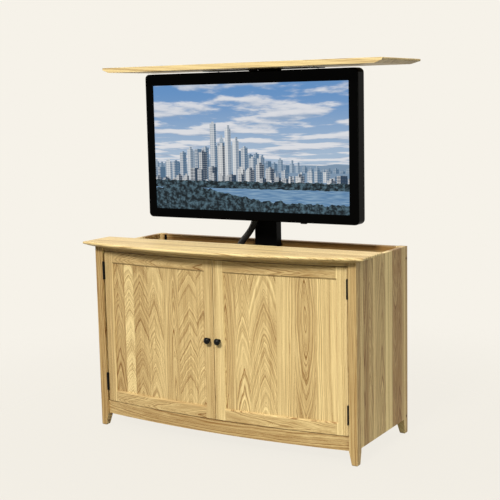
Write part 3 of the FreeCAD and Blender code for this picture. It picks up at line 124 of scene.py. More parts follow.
class Nodes:
    """A node tree. node() adds any node: its settings first, then its sockets' values or links.
    A colour ramp's settings are its stops, as (place, colour), and what lies between them."""

    def __init__(self, tree):
        self.tree = tree

    def node(self, kind, settings=None, inputs=None, output=0):
        made = self.tree.nodes.new(kind)
        for key, value in (settings or {}).items():
            if key == "stops":
                stops = made.color_ramp.elements
                for place, colour in value[1:-1]:
                    stops.new(place).color = colour
                for stop, (place, colour) in zip(stops, value):
                    stop.position, stop.color = place, colour
            elif key == "between_stops":
                made.color_ramp.interpolation = value
            else:
                setattr(made, key, value)
        for key, value in (inputs or {}).items():
            if isinstance(value, Term):
                self.tree.links.new(value.socket, made.inputs[key])
            else:
                made.inputs[key].default_value = value
        return Term(self, made.outputs[output])

    def split(self, vector):
        """A vector's x, y and z."""
        parts = self.node("ShaderNodeSeparateXYZ", inputs={0: vector})
        return [parts.output(axis) for axis in "XYZ"]

    def join(self, x, y, z=0.0):
        """The vector of an x, a y and a z."""
        return self.node("ShaderNodeCombineXYZ", inputs={0: x, 1: y, 2: z})

    def noise(self, vector, scale=1.0, detail=2.0, roughness=0.5):
        """Smooth noise round 0.5 in space."""
        inputs = {"Vector": vector, "Scale": scale, "Detail": detail, "Roughness": roughness}
        return self.node("ShaderNodeTexNoise", inputs=inputs)

    def noise_line(self, place, detail):
        """Smooth noise round 0.5 along a line."""
        inputs = {"W": place, "Detail": detail}
        return self.node("ShaderNodeTexNoise", {"noise_dimensions": "1D"}, inputs)

    def chance(self, number):
        """A value and a colour that every number has of its own, as if thrown."""
        return self.node("ShaderNodeTexWhiteNoise", {"noise_dimensions": "1D"}, {"W": number})

    def mix(self, share, first, second, blend="MIX"):
        """A colour between two, by a share from 0 to 1."""
        settings = {"data_type": "RGBA", "blend_type": blend}
        return self.node("ShaderNodeMix", settings, {0: share, 6: first, 7: second}, output=2)

    def end(self, name, term):
        """Links what the whole tree gives to its output node."""
        self.tree.links.new(term.socket, self.tree.nodes[name].inputs["Surface"])


class Finish(Nodes):
    """A material. uniform holds the sockets whose values are the same all over."""

    def __init__(self, name, uniform):
        self.material = bpy.data.materials.new(name)
        self.material.use_nodes = True
        super().__init__(self.material.node_tree)
        self.surface = self.tree.nodes["Principled BSDF"]
        for socket, value in uniform.items():
            self.surface.inputs[socket].default_value = value

    def where(self):
        """The place on the piece, in metres, as a vector."""
        return self.node("ShaderNodeTexCoord", output="Object")

    def feed(self, **sockets):
        """Links terms to the surface's sockets, whose names are given with underscores."""
        for name, term in sockets.items():
            self.tree.links.new(term.socket, self.surface.inputs[name.replace("_", " ")])

    def bump(self, height, distance, strength=1.0):
        """A relief whose height of 1 stands a distance proud, in metres."""
        inputs = {"Height": height, "Distance": distance, "Strength": strength}
        self.feed(Normal=self.node("ShaderNodeBump", inputs=inputs))

    def onto(self, *names):
        """Gives this finish to pieces or CAD nodes, by name."""
        for name in names:
            mesh = bpy.data.objects[name].data
            mesh.materials.clear()
            mesh.materials.append(self.material)


PALE_ASH = (0.90, 0.725, 0.375, 1)
BROWN_ASH = (0.345, 0.192, 0.060, 1)
RING_TINT = (0.33, 0.19, 0.08, 1)
PORE_RELIEF = 0.00025
SEED_SPREAD = 37.0
APEX_REACH = 2.0
TILT_REACH = 0.5
# How many of each mark a metre holds, across and along the grain.
BENDS, RIPPLES, PATCHES = (7, 2.4), (42, 11), (6, 2.2)
FIBRES, FINE_FIBRES, PORES = (120, 2.6), (520, 9), (1500, 60)


def board_at(finish, boards, u, span):
    """The tone, heart, apex and tilt of the board at u. A stepped ramp over the span holds
    each board's four numbers as a colour and an alpha, all brought to between 0 and 1."""
    low, high = span
    reach = high - low
    stops = []
    for edge, tone, heart, apex, tilt in boards:
        heart_share = (heart - low + reach) / (3 * reach)
        apex_share = (apex + APEX_REACH) / (2 * APEX_REACH)
        colour = (tone, heart_share, apex_share, tilt / TILT_REACH)
        stops.append((max(0.0, (edge - low) / reach), colour))
    settings = {"between_stops": "CONSTANT", "stops": stops}
    picked = finish.node("ShaderNodeValToRGB", settings, {0: (u - low) / reach})
    held = finish.node("ShaderNodeSeparateColor", inputs={0: picked})
    heart = held.output("Green") * (3 * reach) + (low - reach)
    apex = held.output("Blue") * (2 * APEX_REACH) - APEX_REACH
    return held.output("Red"), heart, apex, picked.output("Alpha") * TILT_REACH


def ash(name, along, across, boards, span=None, face=0.0, spacing=0.0047, rings=1.35, wander=0.022):
    """Ash boards under clear lacquer, each given as (edge, tone, heart, apex, tilt). A year
    ring's radius is sqrt(a^2 + b^2 + 0.6 |a b|), with fine ripples. There a = across - heart,
    shifted by slow bends, and b = tilt * (along - apex) + half the depth below the face, so
    that a tilted board shows pointed arches. face is how far the boards' surface lies from the
    middle of the cabinet, spacing is one year's growth and wander is the bends' size, all in
    metres. rings is how strongly the rings are stained."""
    finish = Finish(name, {"Specular IOR Level": 0.22})
    axes = dict(zip("xyz", finish.split(finish.where())))
    depth = axes[({"x", "y", "z"} - {along, across}).pop()]
    u, v = axes[across], axes[along]
    if len(boards) == 1:
        _, tone, heart, apex, tilt = boards[0]
    else:
        tone, heart, apex, tilt = board_at(finish, boards, u, span)
    seed = tone * SEED_SPREAD

    def marks(counts, detail=2.0, roughness=0.5, deep=0.0, long=0.0):
        """Noise drawn out along the grain, moved by deep and long to differ between boards."""
        place = finish.join(u * counts[0], depth * counts[0] + deep, v * counts[1] + long)
        return finish.noise(place, detail=detail, roughness=roughness)

    bend = marks(BENDS, deep=seed, long=seed)
    ripple = marks(RIPPLES, deep=seed, long=seed)
    aside = u - heart + (bend - 0.5) * wander
    away = (depth.size() - face) * 0.5 + (v - apex) * tilt
    skew = (aside * away).size() * 0.6
    radius = (aside * aside + away * away + skew).math("SQRT") + (ripple - 0.5) * (wander * 0.36)
    years = radius / spacing
    count = years + finish.noise_line(years * 0.4, 2.0) * 3.4
    strength = finish.chance(count.whole()).output("Value") * 0.7 + 0.3
    ring = (1 - count.part()) ** 2.3 * strength
    band = finish.noise_line(years * 0.17 + seed, 1.0)
    patch = marks(PATCHES, deep=seed)
    fibres = marks(FIBRES, 3.0, 0.62, long=seed)
    fine = marks(FINE_FIBRES, 2.0, 0.6, long=seed)
    pores = marks(PORES, 1.0, long=seed)
    open_pores = pores.ramp(0.56, 0.74) * (ring * 0.8 + 0.2)
    shade = tone + (band - 0.5) * 0.7 + (patch - 0.5) * 0.4 + (fibres - 0.5) + (fine - 0.5) * 0.7
    board = finish.mix(shade, PALE_ASH, BROWN_ASH)
    stained = finish.mix(1.0, board, RING_TINT, "MULTIPLY")
    ringed = finish.mix(ring * rings + open_pores * 0.2, board, stained)
    finish.feed(Base_Color=ringed, Roughness=ring * 0.1 + open_pores * 0.12 + 0.42)
    finish.bump(1 - open_pores * 0.7 - ring * 0.3, PORE_RELIEF, 0.6)
    return finish


FRONT_POSTS = {
    "front_left": (0.7, -0.66, 0.3),
    "front_right": (0.62, 0.70, 0.9),
}
FRONT_POST_TILT = 0.05
for corner, (tone, heart, apex) in FRONT_POSTS.items():
    board = (0, tone, heart, apex, FRONT_POST_TILT)
    post_ash = ash(f"{corner}_post_ash", "z", "x", [board], face=0.2, spacing=0.0044)
    post_ash.onto(f"{corner}_post")

POST_INNER_FACE, BACK_POST_FRONT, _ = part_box("back_right_post")[0]
SIDE_FACE, CARCASS_BACK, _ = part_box("back_right_post")[1]
BACK_POST_BOARDS = [
    (0.25, 0.22, 0.20, 0.2, 0.04),
    (0.2645, 0.70, 0.36, 0.4, 0.03),
]
back_post_span = (BACK_POST_FRONT, CARCASS_BACK)
back_post_ash = ash(
    "back_post_ash", "z", "y", BACK_POST_BOARDS, span=back_post_span, face=SIDE_FACE
)
back_post_ash.onto("back_left_post", "back_right_post")


# ------------------------------------------------------------------------------------ stage
# A plain cream floor that fades out to an even cream background, which gloss and glass show
# too. The key lamp stands high in front, a faint one lights the right side, and two more
# light the left side and the back.
CREAM = (0.922, 0.888, 0.815, 1)
FLOOR_PAINT = (0.2, 0.193, 0.177, 1)
FLOOR_REACH = 6.0
FLOOR_RINGS = 25
FLOOR_SIDES = 48
FLOOR_GLOW = 1.06
GLOW_SHARE = 0.86
FADE_FROM, FADE_TO = 0.9, 2.6
SKY_LIGHT = (1.0, 0.94, 0.84, 1)
LIGHT_AT_HORIZON = 0.03
LIGHT_OVERHEAD = 1.3


def surface(name, points, close_around=False, uv=None):
    """A mesh of quads over a grid of points, (rows, columns, 3). close_around joins the last
    column to the first. Rows that shrink to a point are merged into a pole. uv holds how far
    the map runs across all columns, and its place down them at each row."""
    rows, columns = points.shape[:2]
    index = np.arange(rows * columns).reshape(rows, columns)
    if close_around:
        index = np.hstack([index, index[:, :1]])
    quads = np.stack([index[:-1, :-1], index[:-1, 1:], index[1:, 1:], index[1:, :-1]], -1)
    mesh = bpy.data.meshes.new(name)
    mesh.from_pydata(points.reshape(-1, 3).tolist(), [], quads.reshape(-1, 4).tolist())
    if uv is not None:
        grid = np.indices((rows - 1, index.shape[1] - 1)).reshape(2, -1)
        corners = [(0, 0), (0, 1), (1, 1), (1, 0)]
        across = np.stack([grid[1] + step[1] for step in corners], -1) / (index.shape[1] - 1)
        down = np.stack([grid[0] + step[0] for step in corners], -1)
        layer = mesh.uv_layers.new(name="UVMap")
        flat = np.stack([across.ravel() * uv[0], uv[1][down.ravel()]], -1)
        layer.data.foreach_set("uv", flat.astype(np.float32).ravel())
    shape = bmesh.new()
    shape.from_mesh(mesh)
    bmesh.ops.remove_doubles(shape, verts=shape.verts, dist=1e-7)
    bmesh.ops.recalc_face_normals(shape, faces=shape.faces)
    shape.to_mesh(mesh)
    shape.free()
    mesh.polygons.foreach_set("use_smooth", [True] * len(mesh.polygons))
    made = bpy.data.objects.new(name, mesh)
    bpy.context.scene.collection.objects.link(made)
    return made


def background_rays(nodes):
    """1 for the rays that see the background: the camera's own, and those off gloss or
    through glass. 0 for the rays that light the object."""
    rays = nodes.node("ShaderNodeLightPath")
    seen = rays.output("Is Camera Ray")
    for kind in ("Is Glossy Ray", "Is Transmission Ray"):
        seen = seen.math("MAXIMUM", rays.output(kind))
    return seen


radii = np.linspace(0, FLOOR_REACH, FLOOR_RINGS)[:, None]
turns = np.linspace(0, 2 * np.pi, FLOOR_SIDES, endpoint=False)[None, :]
floor = surface(
    "floor",
    np.stack([radii * np.cos(turns), radii * np.sin(turns), 0 * radii * turns], -1),
    close_around=True,
)
floor_paint = Finish("floor_paint", {"Base Color": FLOOR_PAINT, "Roughness": 0.8})
x, y, _ = floor_paint.split(floor_paint.where())
distance = (x * x + y * y).math("SQRT")
glow = floor_paint.node("ShaderNodeEmission", inputs={"Color": CREAM, "Strength": FLOOR_GLOW})
clear = floor_paint.node("ShaderNodeBsdfTransparent")
lit = Term(floor_paint, floor_paint.surface.outputs[0])
shares = {0: background_rays(floor_paint) * GLOW_SHARE, 1: lit, 2: glow}
shadowed = floor_paint.node("ShaderNodeMixShader", inputs=shares)
shares = {0: distance.ramp(FADE_FROM, FADE_TO), 1: shadowed, 2: clear}
floor_paint.end("Material Output", floor_paint.node("ShaderNodeMixShader", inputs=shares))
floor_paint.onto("floor")

world = bpy.data.worlds.new("studio")
world.use_nodes = True
bpy.context.scene.world = world
studio = Nodes(world.node_tree)
height = studio.split(studio.node("ShaderNodeTexCoord", output="Generated"))[2]
light = height.ramp(0.2, 1.0) * LIGHT_OVERHEAD + LIGHT_AT_HORIZON
even = studio.node("ShaderNodeBackground", inputs={"Color": SKY_LIGHT, "Strength": light})
plain = studio.node("ShaderNodeBackground", inputs={"Color": CREAM, "Strength": 1.0})
shares = {0: background_rays(studio), 1: even, 2: plain}
studio.end("World Output", studio.node("ShaderNodeMixShader", inputs=shares))


def lamp(name, place, target, size, power, colour, spread=180, glints=True):
    """A square soft lamp that faces a target. A grid on it narrows its spread, in degrees, and
    without glints it isn't mirrored in any gloss."""
    data = bpy.data.lights.new(name, "AREA")
    data.size = size
    data.energy = power
    data.color = colour
    data.spread = math.radians(spread)
    made = bpy.data.objects.new(name, data)
    made.location = place
    made.rotation_euler = (Vector(target) - Vector(place)).to_track_quat("-Z", "Y").to_euler()
    made.visible_glossy = glints
    bpy.context.scene.collection.objects.link(made)


WARM_LIGHT = (1.0, 0.97, 0.9)
lamp(
    "key_lamp",
    place=(0.6, -6.7, 5.5),
    target=(0, 0, 0.7),
    size=1.3,
    power=600,
    colour=(1.0, 0.965, 0.88),
)
lamp(
    "side_lamp",
    place=(7.5, -3.2, 0.9),
    target=(0.3, 0, 0.3),
    size=1.2,
    power=3.2,
    colour=(0.92, 1.0, 0.78),
    spread=26,
)
lamp(
    "left_lamp",
    place=(-7.0, 0.8, 1.4),
    target=(-0.3, 0, 0.6),
    size=1.6,
    power=190,
    colour=WARM_LIGHT,
)
lamp(
    "back_lamp",
    place=(1.4, 7.0, 2.0),
    target=(0, 0.3, 0.7),
    size=1.6,
    power=240,
    colour=WARM_LIGHT,
    glints=False,
)

CAMERA_PLACE = (2.3675, -3.9025, 1.4182)
LENS_LENGTH = 78.72
YAW, PITCH, ROLL = (math.radians(angle) for angle in (30.88, 7.89, 1.23))
ahead = Vector(
    (-math.sin(YAW) * math.cos(PITCH), math.cos(YAW) * math.cos(PITCH), -math.sin(PITCH))
)
level = Vector((math.cos(YAW), math.sin(YAW), 0))
down = ahead.cross(level)
right = math.cos(ROLL) * level + math.sin(ROLL) * down
up = math.sin(ROLL) * level - math.cos(ROLL) * down
camera_data = bpy.data.cameras.new("camera")
camera_data.lens = LENS_LENGTH
camera_data.sensor_width = 36
camera = bpy.data.objects.new("camera", camera_data)
turned = Matrix((right, up, -ahead)).transposed().to_4x4()
camera.matrix_world = Matrix.Translation(CAMERA_PLACE) @ turned
bpy.context.scene.collection.objects.link(camera)
bpy.context.scene.camera = camera
bpy.context.scene.view_settings.view_transform = "Standard"


# -------------------------------------------------------------------------------- side panels
# Each side is glued up from upright boards of mixed heart and sap wood, planed flush with
# the posts that it is set between.
SIDE_BOARDS = [
    (-0.174, 0.30, -0.30, 0.5, 0.02),
    (-0.150, 0.84, -0.14, 1.6, 0.06),
    (-0.102, 0.60, -0.09, -1.6, 0.10),
    (-0.056, 0.0, -0.20, 0.5, 0.02),
    (-0.038, 0.54, 0.03, -0.5, 0.09),
    (0.060, 0.0, 0.25, 0.5, 0.015),
    (0.127, 0.92, 0.16, 1.4, 0.13),
    (0.176, 1.0, 0.20, -0.6, 0.10),
    (0.224, 0.52, 0.30, 0.6, 0.03),
]
side_span = [corner[1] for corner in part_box("right_side_panel")]
side_ash = ash("side_panel_ash", "z", "y", SIDE_BOARDS, span=side_span, face=SIDE_FACE)
side_ash.onto("left_side_panel", "right_side_panel")


# -------------------------------------------------------------------- rails across the front
# The apron and the rail above the doors are sawn to the doors' bow and tenoned to the posts.
# Each is one board, with its rings nearly straight along it.
ash("apron_ash", "x", "z", [(0, 0.62, 0.13, 1.8, 0.02)], face=0.22).onto("apron_rail")
ash("upper_rail_ash", "x", "z", [(0, 0.4, 0.9, 1.8, 0.03)], face=0.22).onto("upper_front_rail")


# -------------------------------------------------------------------------- inside the cabinet
# Plain sealed boards: the floor, the divider and shelves behind the doors, the board that
# closes the television's bay, its strips, and the back with its rails. The shelves' pins and
# the back's screws are zinc plated.
ash("floor_board_ash", "x", "y", [(0, 0.55, 0.1, 2.5, 0.03)]).onto("floor_panel", "floor_cleats")
ash("divider_ash", "z", "y", [(0, 0.5, -0.1, -0.9, 0.06)]).onto("center_divider")
partition_ash = ash("partition_ash", "x", "z", [(0, 0.62, 0.4, 2.0, 0.03)])
partition_ash.onto("bay_partition", "strip_support_rail")
ash("shelf_ash", "x", "y", [(0, 0.45, -0.1, 1.9, 0.03)]).onto("shelves")
ash("back_ash", "x", "z", [(0, 0.95, 0.5, 1.9, 0.03)]).onto("back_panel")
ash("back_rail_ash", "x", "z", [(0, 0.9, 0.9, 1.9, 0.02)]).onto("back_rails")
CLOUDS_PER_METRE = 14
GRAINS_PER_METRE = 2500


def plain_finish(name, colour, roughness, metallic=0.0, specular=0.5, grain=0.0):
    """A smooth finish. In soft clouds it is up to 0.3 darker, and up to 0.07 rougher or
    smoother. A fine grain, if any, is given by its height in metres."""
    finish = Finish(name, {"Metallic": metallic, "Specular IOR Level": specular})
    where = finish.where()
    cloud = finish.noise(where, CLOUDS_PER_METRE, 3.0)
    darker = (*(0.7 * part for part in colour), 1)
    finish.feed(Base_Color=finish.mix(cloud, (*colour, 1), darker))
    finish.feed(Roughness=(cloud - 0.5) * 0.14 + roughness)
    if grain:
        finish.bump(finish.noise(where, GRAINS_PER_METRE, 1.0), grain)
    return finish


zinc = plain_finish("zinc_plate", (0.55, 0.56, 0.57), 0.32, metallic=1.0)
zinc.onto("shelf_pins", "back_panel_screws")


# ------------------------------------------------------------------------------ front top strip
# A thick board with a long bevel worked underneath, so that it meets the eye as a thin
# rounded nose. It stays on the cabinet when the lid behind it rises.
TOP_BOARDS = [
    (-0.325, 0.0, -0.24, 1.5, 0.05),
    (-0.25, 0.10, -0.24, 1.5, 0.05),
    (-0.2, 0.42, -0.24, 1.5, 0.05),
    (-0.168, 0.0, -0.05, -1.6, 0.035),
    (-0.108, 0.26, -0.05, -1.6, 0.035),
    (-0.088, 0.0, -0.05, -1.6, 0.035),
    (0.03, 0.16, 0.05, -1.5, 0.03),
    (0.12, 0.0, 0.14, 1.6, 0.04),
    (0.21, 0.2, 0.3, 1.6, 0.05),
]
top_ash = ash(
    "top_board_ash",
    "x",
    "y",
    TOP_BOARDS,
    span=(-0.325, 0.325),
    face=0.8,
    spacing=0.0075,
    rings=1.1,
    wander=0.009,
)
top_ash.onto("top_front_strip", "lid_board")


# ---------------------------------------------------------------------------------------- doors
# Two bowed frame-and-panel doors. The stiles run through, the rails are tenoned into them,
# and each panel is a plain glue-up of upright boards, bowed too and held loose in a groove.
# The round knobs are lacquered black, and the doors hang on blackened steel butts.
DOOR_BOARDS = {
    "left": [
        (-0.543, 0.59, -0.515, -0.3, 0.14),
        (-0.476, 0.0, -0.447, -0.3, 0.24),
        (-0.424, 0.59, -0.385, -0.4, 0.22),
        (-0.342, 0.34, -0.310, -0.4, 0.16),
        (-0.262, 0.31, -0.205, 0.22, 0.07),
        (-0.180, 0.41, -0.125, -0.5, 0.24),
        (-0.088, 0.38, -0.058, -0.2, 0.20),
    ],
    "right": [
        (0.0395, 0.38, 0.048, 0.45, 0.10),
        (0.100, 0.29, 0.130, -0.3, 0.12),
        (0.160, 0.31, 0.228, -0.3, 0.17),
        (0.280, 0.22, 0.400, -0.4, 0.04),
        (0.362, 0.45, 0.404, 0.54, 0.14),
        (0.446, 0.16, 0.700, 0.4, 0.02),
    ],
}
STILE_TONES = {
    "left": {"hinge": 0.34, "meeting": 0.3},
    "right": {"hinge": -0.1, "meeting": 0.1},
}
RAIL_HEARTS = {"top": 0.745, "bottom": 0.125}
PANEL_FACE = 0.222
FRAME_FACE = 0.23
# Stiles and rails are cut far from the heart, so their rings run nearly straight.
FAR_ASIDE = 0.9
for side, boards in DOOR_BOARDS.items():
    panel = f"{side}_door_panel"
    panel_span = [corner[0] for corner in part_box(panel)]
    ash(f"{side}_panel_ash", "z", "x", boards, span=panel_span, face=PANEL_FACE).onto(panel)
    outwards = -FAR_ASIDE if side == "left" else FAR_ASIDE
    for place, tone in STILE_TONES[side].items():
        stile = [(0, tone, outwards, 0.4, 0.01)]
        stile_ash = ash(f"{side}_{place}_stile_ash", "z", "x", stile, face=FRAME_FACE)
        stile_ash.onto(f"{side}_door_{place}_stile")
    for place, heart in RAIL_HEARTS.items():
        rail = [(0, 0.46, heart, -outwards, 0.09)]
        rail_ash = ash(f"{side}_{place}_rail_ash", "x", "z", rail, face=FRAME_FACE)
        rail_ash.onto(f"{side}_door_{place}_rail")

black_knob = plain_finish("black_knob_paint", (0.004, 0.004, 0.0045), 0.3, specular=0.12)
black_knob.onto("left_door_knob", "right_door_knob")
hinge_black = plain_finish("blackened_hinges", (0.004, 0.004, 0.0042), 0.34, specular=0.09)
hinge_black.onto(
    "hinge_frame_leaves",
    "hinge_pins",
    "left_door_hinge_leaves",
    "right_door_hinge_leaves",
)
zinc.onto("left_door_strike", "right_door_strike")
dark_plastic = plain_finish(
    "dark_nylon", (0.009, 0.009, 0.010), 0.5, specular=0.15, grain=0.00005
)
dark_plastic.onto("magnetic_catches")


# ------------------------------------------------------------------------ corner bar and screws
# A short upright bar of black steel is screwed on the back's rail in the back-left inner corner.
# Dark screws hold the back through the sides, and three more hold each leaf of the hinges.
BAR_PLACE = (-0.5705, 0.246)
BAR_HALF_WIDTH, BAR_HALF_DEPTH = 0.006, 0.002
BAR_FOOT, BAR_TOP = 0.690, 0.798
BAR_EASE = 0.001
BAR_SCREW_HEIGHTS = (0.705, 0.777)
BAR_SCREW_RADIUS = 0.0032
BACK_SCREW_HEIGHTS = (0.076, 0.749)
BACK_SCREW_INSET = 0.012
BACK_SCREW_RADIUS = 0.0045
LEAF_SCREW_RADIUS = 0.0026
LEAF_LENGTH = 0.076
LEAF_FEET = (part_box("hinge_frame_leaves")[0].z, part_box("hinge_frame_leaves")[1].z - LEAF_LENGTH)
LEAF_SCREWS = ((1 / 6, -0.190), (1 / 2, -0.194), (5 / 6, -0.190))


def repeated(piece, seats):
    """Gathers copies of a piece's mesh, one moved to each seat, in the piece itself."""
    shape = bmesh.new()
    for seat in seats:
        count = len(shape.verts)
        shape.from_mesh(piece.data)
        shape.verts.ensure_lookup_table()
        bmesh.ops.translate(shape, verts=shape.verts[count:], vec=seat)
    shape.to_mesh(piece.data)
    shape.free()
    return piece


def corner_bar():
    """An upright bar. Its section is the rounded box |x / a|^6 + |y / b|^6 = 1, and its ends
    are eased and closed."""
    turn = np.linspace(0, 2 * np.pi, 32, endpoint=False)[None, :]
    cosine, sine = np.cos(turn), np.sin(turn)
    reach = (np.abs(cosine) ** 6 + np.abs(sine) ** 6) ** (-1 / 6)
    eased_foot, eased_top = BAR_FOOT + BAR_EASE, BAR_TOP - BAR_EASE
    heights = np.array([BAR_FOOT, BAR_FOOT, eased_foot, eased_top, BAR_TOP, BAR_TOP])
    scale = np.array([0, 0.8, 1, 1, 0.8, 0])[:, None]
    section = (
        BAR_PLACE[0] + scale * reach * cosine * BAR_HALF_WIDTH,
        BAR_PLACE[1] + scale * reach * sine * BAR_HALF_DEPTH,
    )
    grid = np.stack([*section, heights[:, None] + 0 * turn], -1)
    return surface("switch_lead_cover", grid, close_around=True)


def screw_heads(name, seats, facing, radius):
    """Low heads, all facing one way. At r radii from its middle a head stands
    0.16 (1 - r^2) radii high. A cross 0.13 radii to each side of its middle lines and 0.66
    radii long is sunk 0.1 radii into it, and its underside lies 0.2 radii down."""
    r = np.concatenate([np.linspace(0, 1, 10), [1, 0]])[:, None]
    turn = np.linspace(0, 2 * np.pi, 48, endpoint=False)[None, :]
    x, y = r * np.cos(turn), r * np.sin(turn)
    height = 0.16 * (1 - x * x - y * y)
    cross = (np.minimum(np.abs(x), np.abs(y)) < 0.13) & (r < 0.66)
    height = height - 0.1 * cross
    height[-2:] = -0.2
    way = np.array(Vector(facing).to_track_quat("Z", "Y").to_matrix())
    head = surface(name, np.stack([x, y, height], -1) * radius @ way.T, close_around=True)
    return repeated(head, seats)


def fasten(piece, body, finish):
    """Lets a small steel piece ride on a body, in a black finish."""
    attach(piece, body)
    finish.onto(piece.name)


black_steel = plain_finish(
    "black_powder_coat", (0.002, 0.002, 0.0022), 0.5, specular=0.03, grain=0.00006
)
fasten(corner_bar(), "cabinet", black_steel)
bar_front = BAR_PLACE[1] - BAR_HALF_DEPTH
seats = [(BAR_PLACE[0], bar_front, height) for height in BAR_SCREW_HEIGHTS]
bar_screws = screw_heads("lead_cover_screws", seats, (0, -1, 0), BAR_SCREW_RADIUS)
fasten(bar_screws, "cabinet", black_steel)

leaf_seats = [(y, foot + LEAF_LENGTH * share) for foot in LEAF_FEET for share, y in LEAF_SCREWS]
back_screw_y = CARCASS_BACK - BACK_SCREW_INSET
door_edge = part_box("right_door_hinge_stile")[1].x
for side, sign in (("left", -1), ("right", 1)):
    seats = [(sign * SIDE_FACE, back_screw_y, height) for height in BACK_SCREW_HEIGHTS]
    screws = screw_heads(f"{side}_back_screws", seats, (sign, 0, 0), BACK_SCREW_RADIUS)
    fasten(screws, "cabinet", black_steel)
    seats = [(sign * POST_INNER_FACE, *seat) for seat in leaf_seats]
    screws = screw_heads(f"{side}_hinge_post_screws", seats, (-sign, 0, 0), LEAF_SCREW_RADIUS)
    fasten(screws, "cabinet", hinge_black)
    seats = [(sign * door_edge, *seat) for seat in leaf_seats]
    screws = screw_heads(f"{side}_hinge_door_screws", seats, (sign, 0, 0), LEAF_SCREW_RADIUS)
    fasten(screws, f"door_{side}", hinge_black)


# ------------------------------------------------------------------------------------ lift column
# Three steel tubes slide in one another on nylon glides. They and the brackets that carry the
# television and the lid are powder coated black, and their bolts are zinc plated.
black_steel.onto(
    "lift_outer_column",
    "lift_middle_column",
    "lift_inner_column",
    "lift_back_strap",
    "lift_motor",
    "lift_drop_plate",
    "mount_crossbars",
    "mount_arms",
    "lid_bracket",
)
dark_plastic.onto("middle_column_glide", "inner_column_glide", "lift_control_box")
zinc.onto("mount_bolts", "lid_screws")


# ------------------------------------------------------------------------------------ television
# A gloss black moulded front frame, a lit picture behind clear glass, and a textured cover.
# The picture is a made-up town between the sky and a lake, with trees on the near shore.
gloss = plain_finish("gloss_black", (0.0009, 0.0009, 0.0009), 0.12, specular=0.02)
gloss.onto("tv_bezel")
cover_plastic = plain_finish(
    "cover_plastic", (0.010, 0.010, 0.011), 0.5, specular=0.2, grain=0.00008
)
cover_plastic.onto("tv_rear_cover")
dark_plastic.onto("tv_cable_gland", "tv_sensor")

SCREEN_MARGIN = 0.006
AIR_LOW, AIR_HIGH = (0.38, 0.49, 0.62, 1), (0.12, 0.27, 0.53, 1)
CLOUD_BELOW, CLOUD_ABOVE = (0.27, 0.37, 0.52, 1), (0.74, 0.74, 0.76, 1)
HILLS = (0.20, 0.29, 0.40, 1)
WATER_DARK, WATER_PALE = (0.10, 0.21, 0.37, 1), (0.24, 0.37, 0.50, 1)
LEAVES_DARK, LEAVES_PALE = (0.008, 0.014, 0.018, 1), (0.085, 0.15, 0.19, 1)
HAZE, SLATE = (0.40, 0.48, 0.56, 1), (0.08, 0.15, 0.24, 1)
STONE, SHADE = (0.74, 0.75, 0.75, 1), (0.025, 0.05, 0.09, 1)
# The rows of towers, from the farthest: width, foot, low, high, pale, dark and seed.
TOWER_ROWS = (
    (0.030, 0.31, 0.05, 0.20, HAZE, SLATE, 3.3),
    (0.041, 0.24, 0.08, 0.34, STONE, SLATE, 17.7),
    (0.050, 0.19, 0.10, 0.20, STONE, SHADE, 41.2),
    (0.037, 0.17, 0.08, 0.08, STONE, SHADE, 67.9),
)
TOWN_MIDDLE = 0.36
CLOUD_LEVEL = 0.24
FARTHEST_CLOUD = 0.03


def cloudy_sky(finish, s, t):
    """Blue air, paler toward the skyline at t = 0.34, under a level sheet of cumulus. The sheet
    is seen in perspective: a cloud's place in it is (0.55 (s - 0.5), 1) / (t - 0.24)."""
    air = finish.mix(t.ramp(0.34, 1.0), AIR_LOW, AIR_HIGH)
    depth = (t - CLOUD_LEVEL).math("MAXIMUM", FARTHEST_CLOUD)

    def sheet(lift):
        """The sheet's thickness at a point that lies a little higher in the picture."""
        rise = (t + lift - CLOUD_LEVEL).math("MAXIMUM", FARTHEST_CLOUD)
        return finish.noise(finish.join((s - 0.5) / depth * 0.55, rise ** -1), 1.5, 6.0, 0.58)

    puffs, above = sheet(0.0), sheet(0.03)
    light = ((puffs - above) * 5 + 0.5).ramp(-0.1, 0.9)
    cloud = finish.mix(light, CLOUD_BELOW, CLOUD_ABOVE)
    return finish.mix(puffs.ramp(0.445, 0.52) * 0.9, air, cloud)


def bell(place, middle, steepness):
    """exp(-(steepness * (place - middle))^2), which is 1 at the middle."""
    return (((place - middle) * steepness) ** 2 * -1).math("EXPONENT")


def tower_row(finish, behind, s, t, width, foot, low, high, pale, dark, seed):
    """A row of plain tower blocks, each in a column `width` wide. Its height, its tones and the
    place of its corner come from the column's number, and its windows are fine stripes. The
    row is tallest at the middle of the town, a bell of height `high` over `low`."""
    column = s / width + seed
    number = column.whole()
    thrown = finish.chance(number).output("Color")
    rolls = finish.node("ShaderNodeSeparateColor", inputs={0: thrown})
    first, second, third = (rolls.output(name) for name in ("Red", "Green", "Blue"))
    inside = column.part()
    rise = bell((number - seed + 0.5) * width, TOWN_MIDDLE, 4.2) * high + low
    roof = rise * (third * 0.8 + 0.3) + foot
    crown = (inside - 0.5).size() < 0.16
    outline = (t < roof) + (t < roof + second * 0.03) * crown
    setback = (inside > first * 0.16) * (inside < 1 - second * 0.2)
    block = outline * setback * (t > foot)
    lit = inside < first * 0.5 + 0.3
    storeys = (t * (second * 40 + 40)).part() > 0.5
    bays = (inside * (third * 3 + 2).whole()).part() > 0.5
    tone = lit * 0.55 + second * 0.5 - storeys * 0.22 - bays * 0.16
    return finish.mix(block, behind, finish.mix(tone, dark, pale))


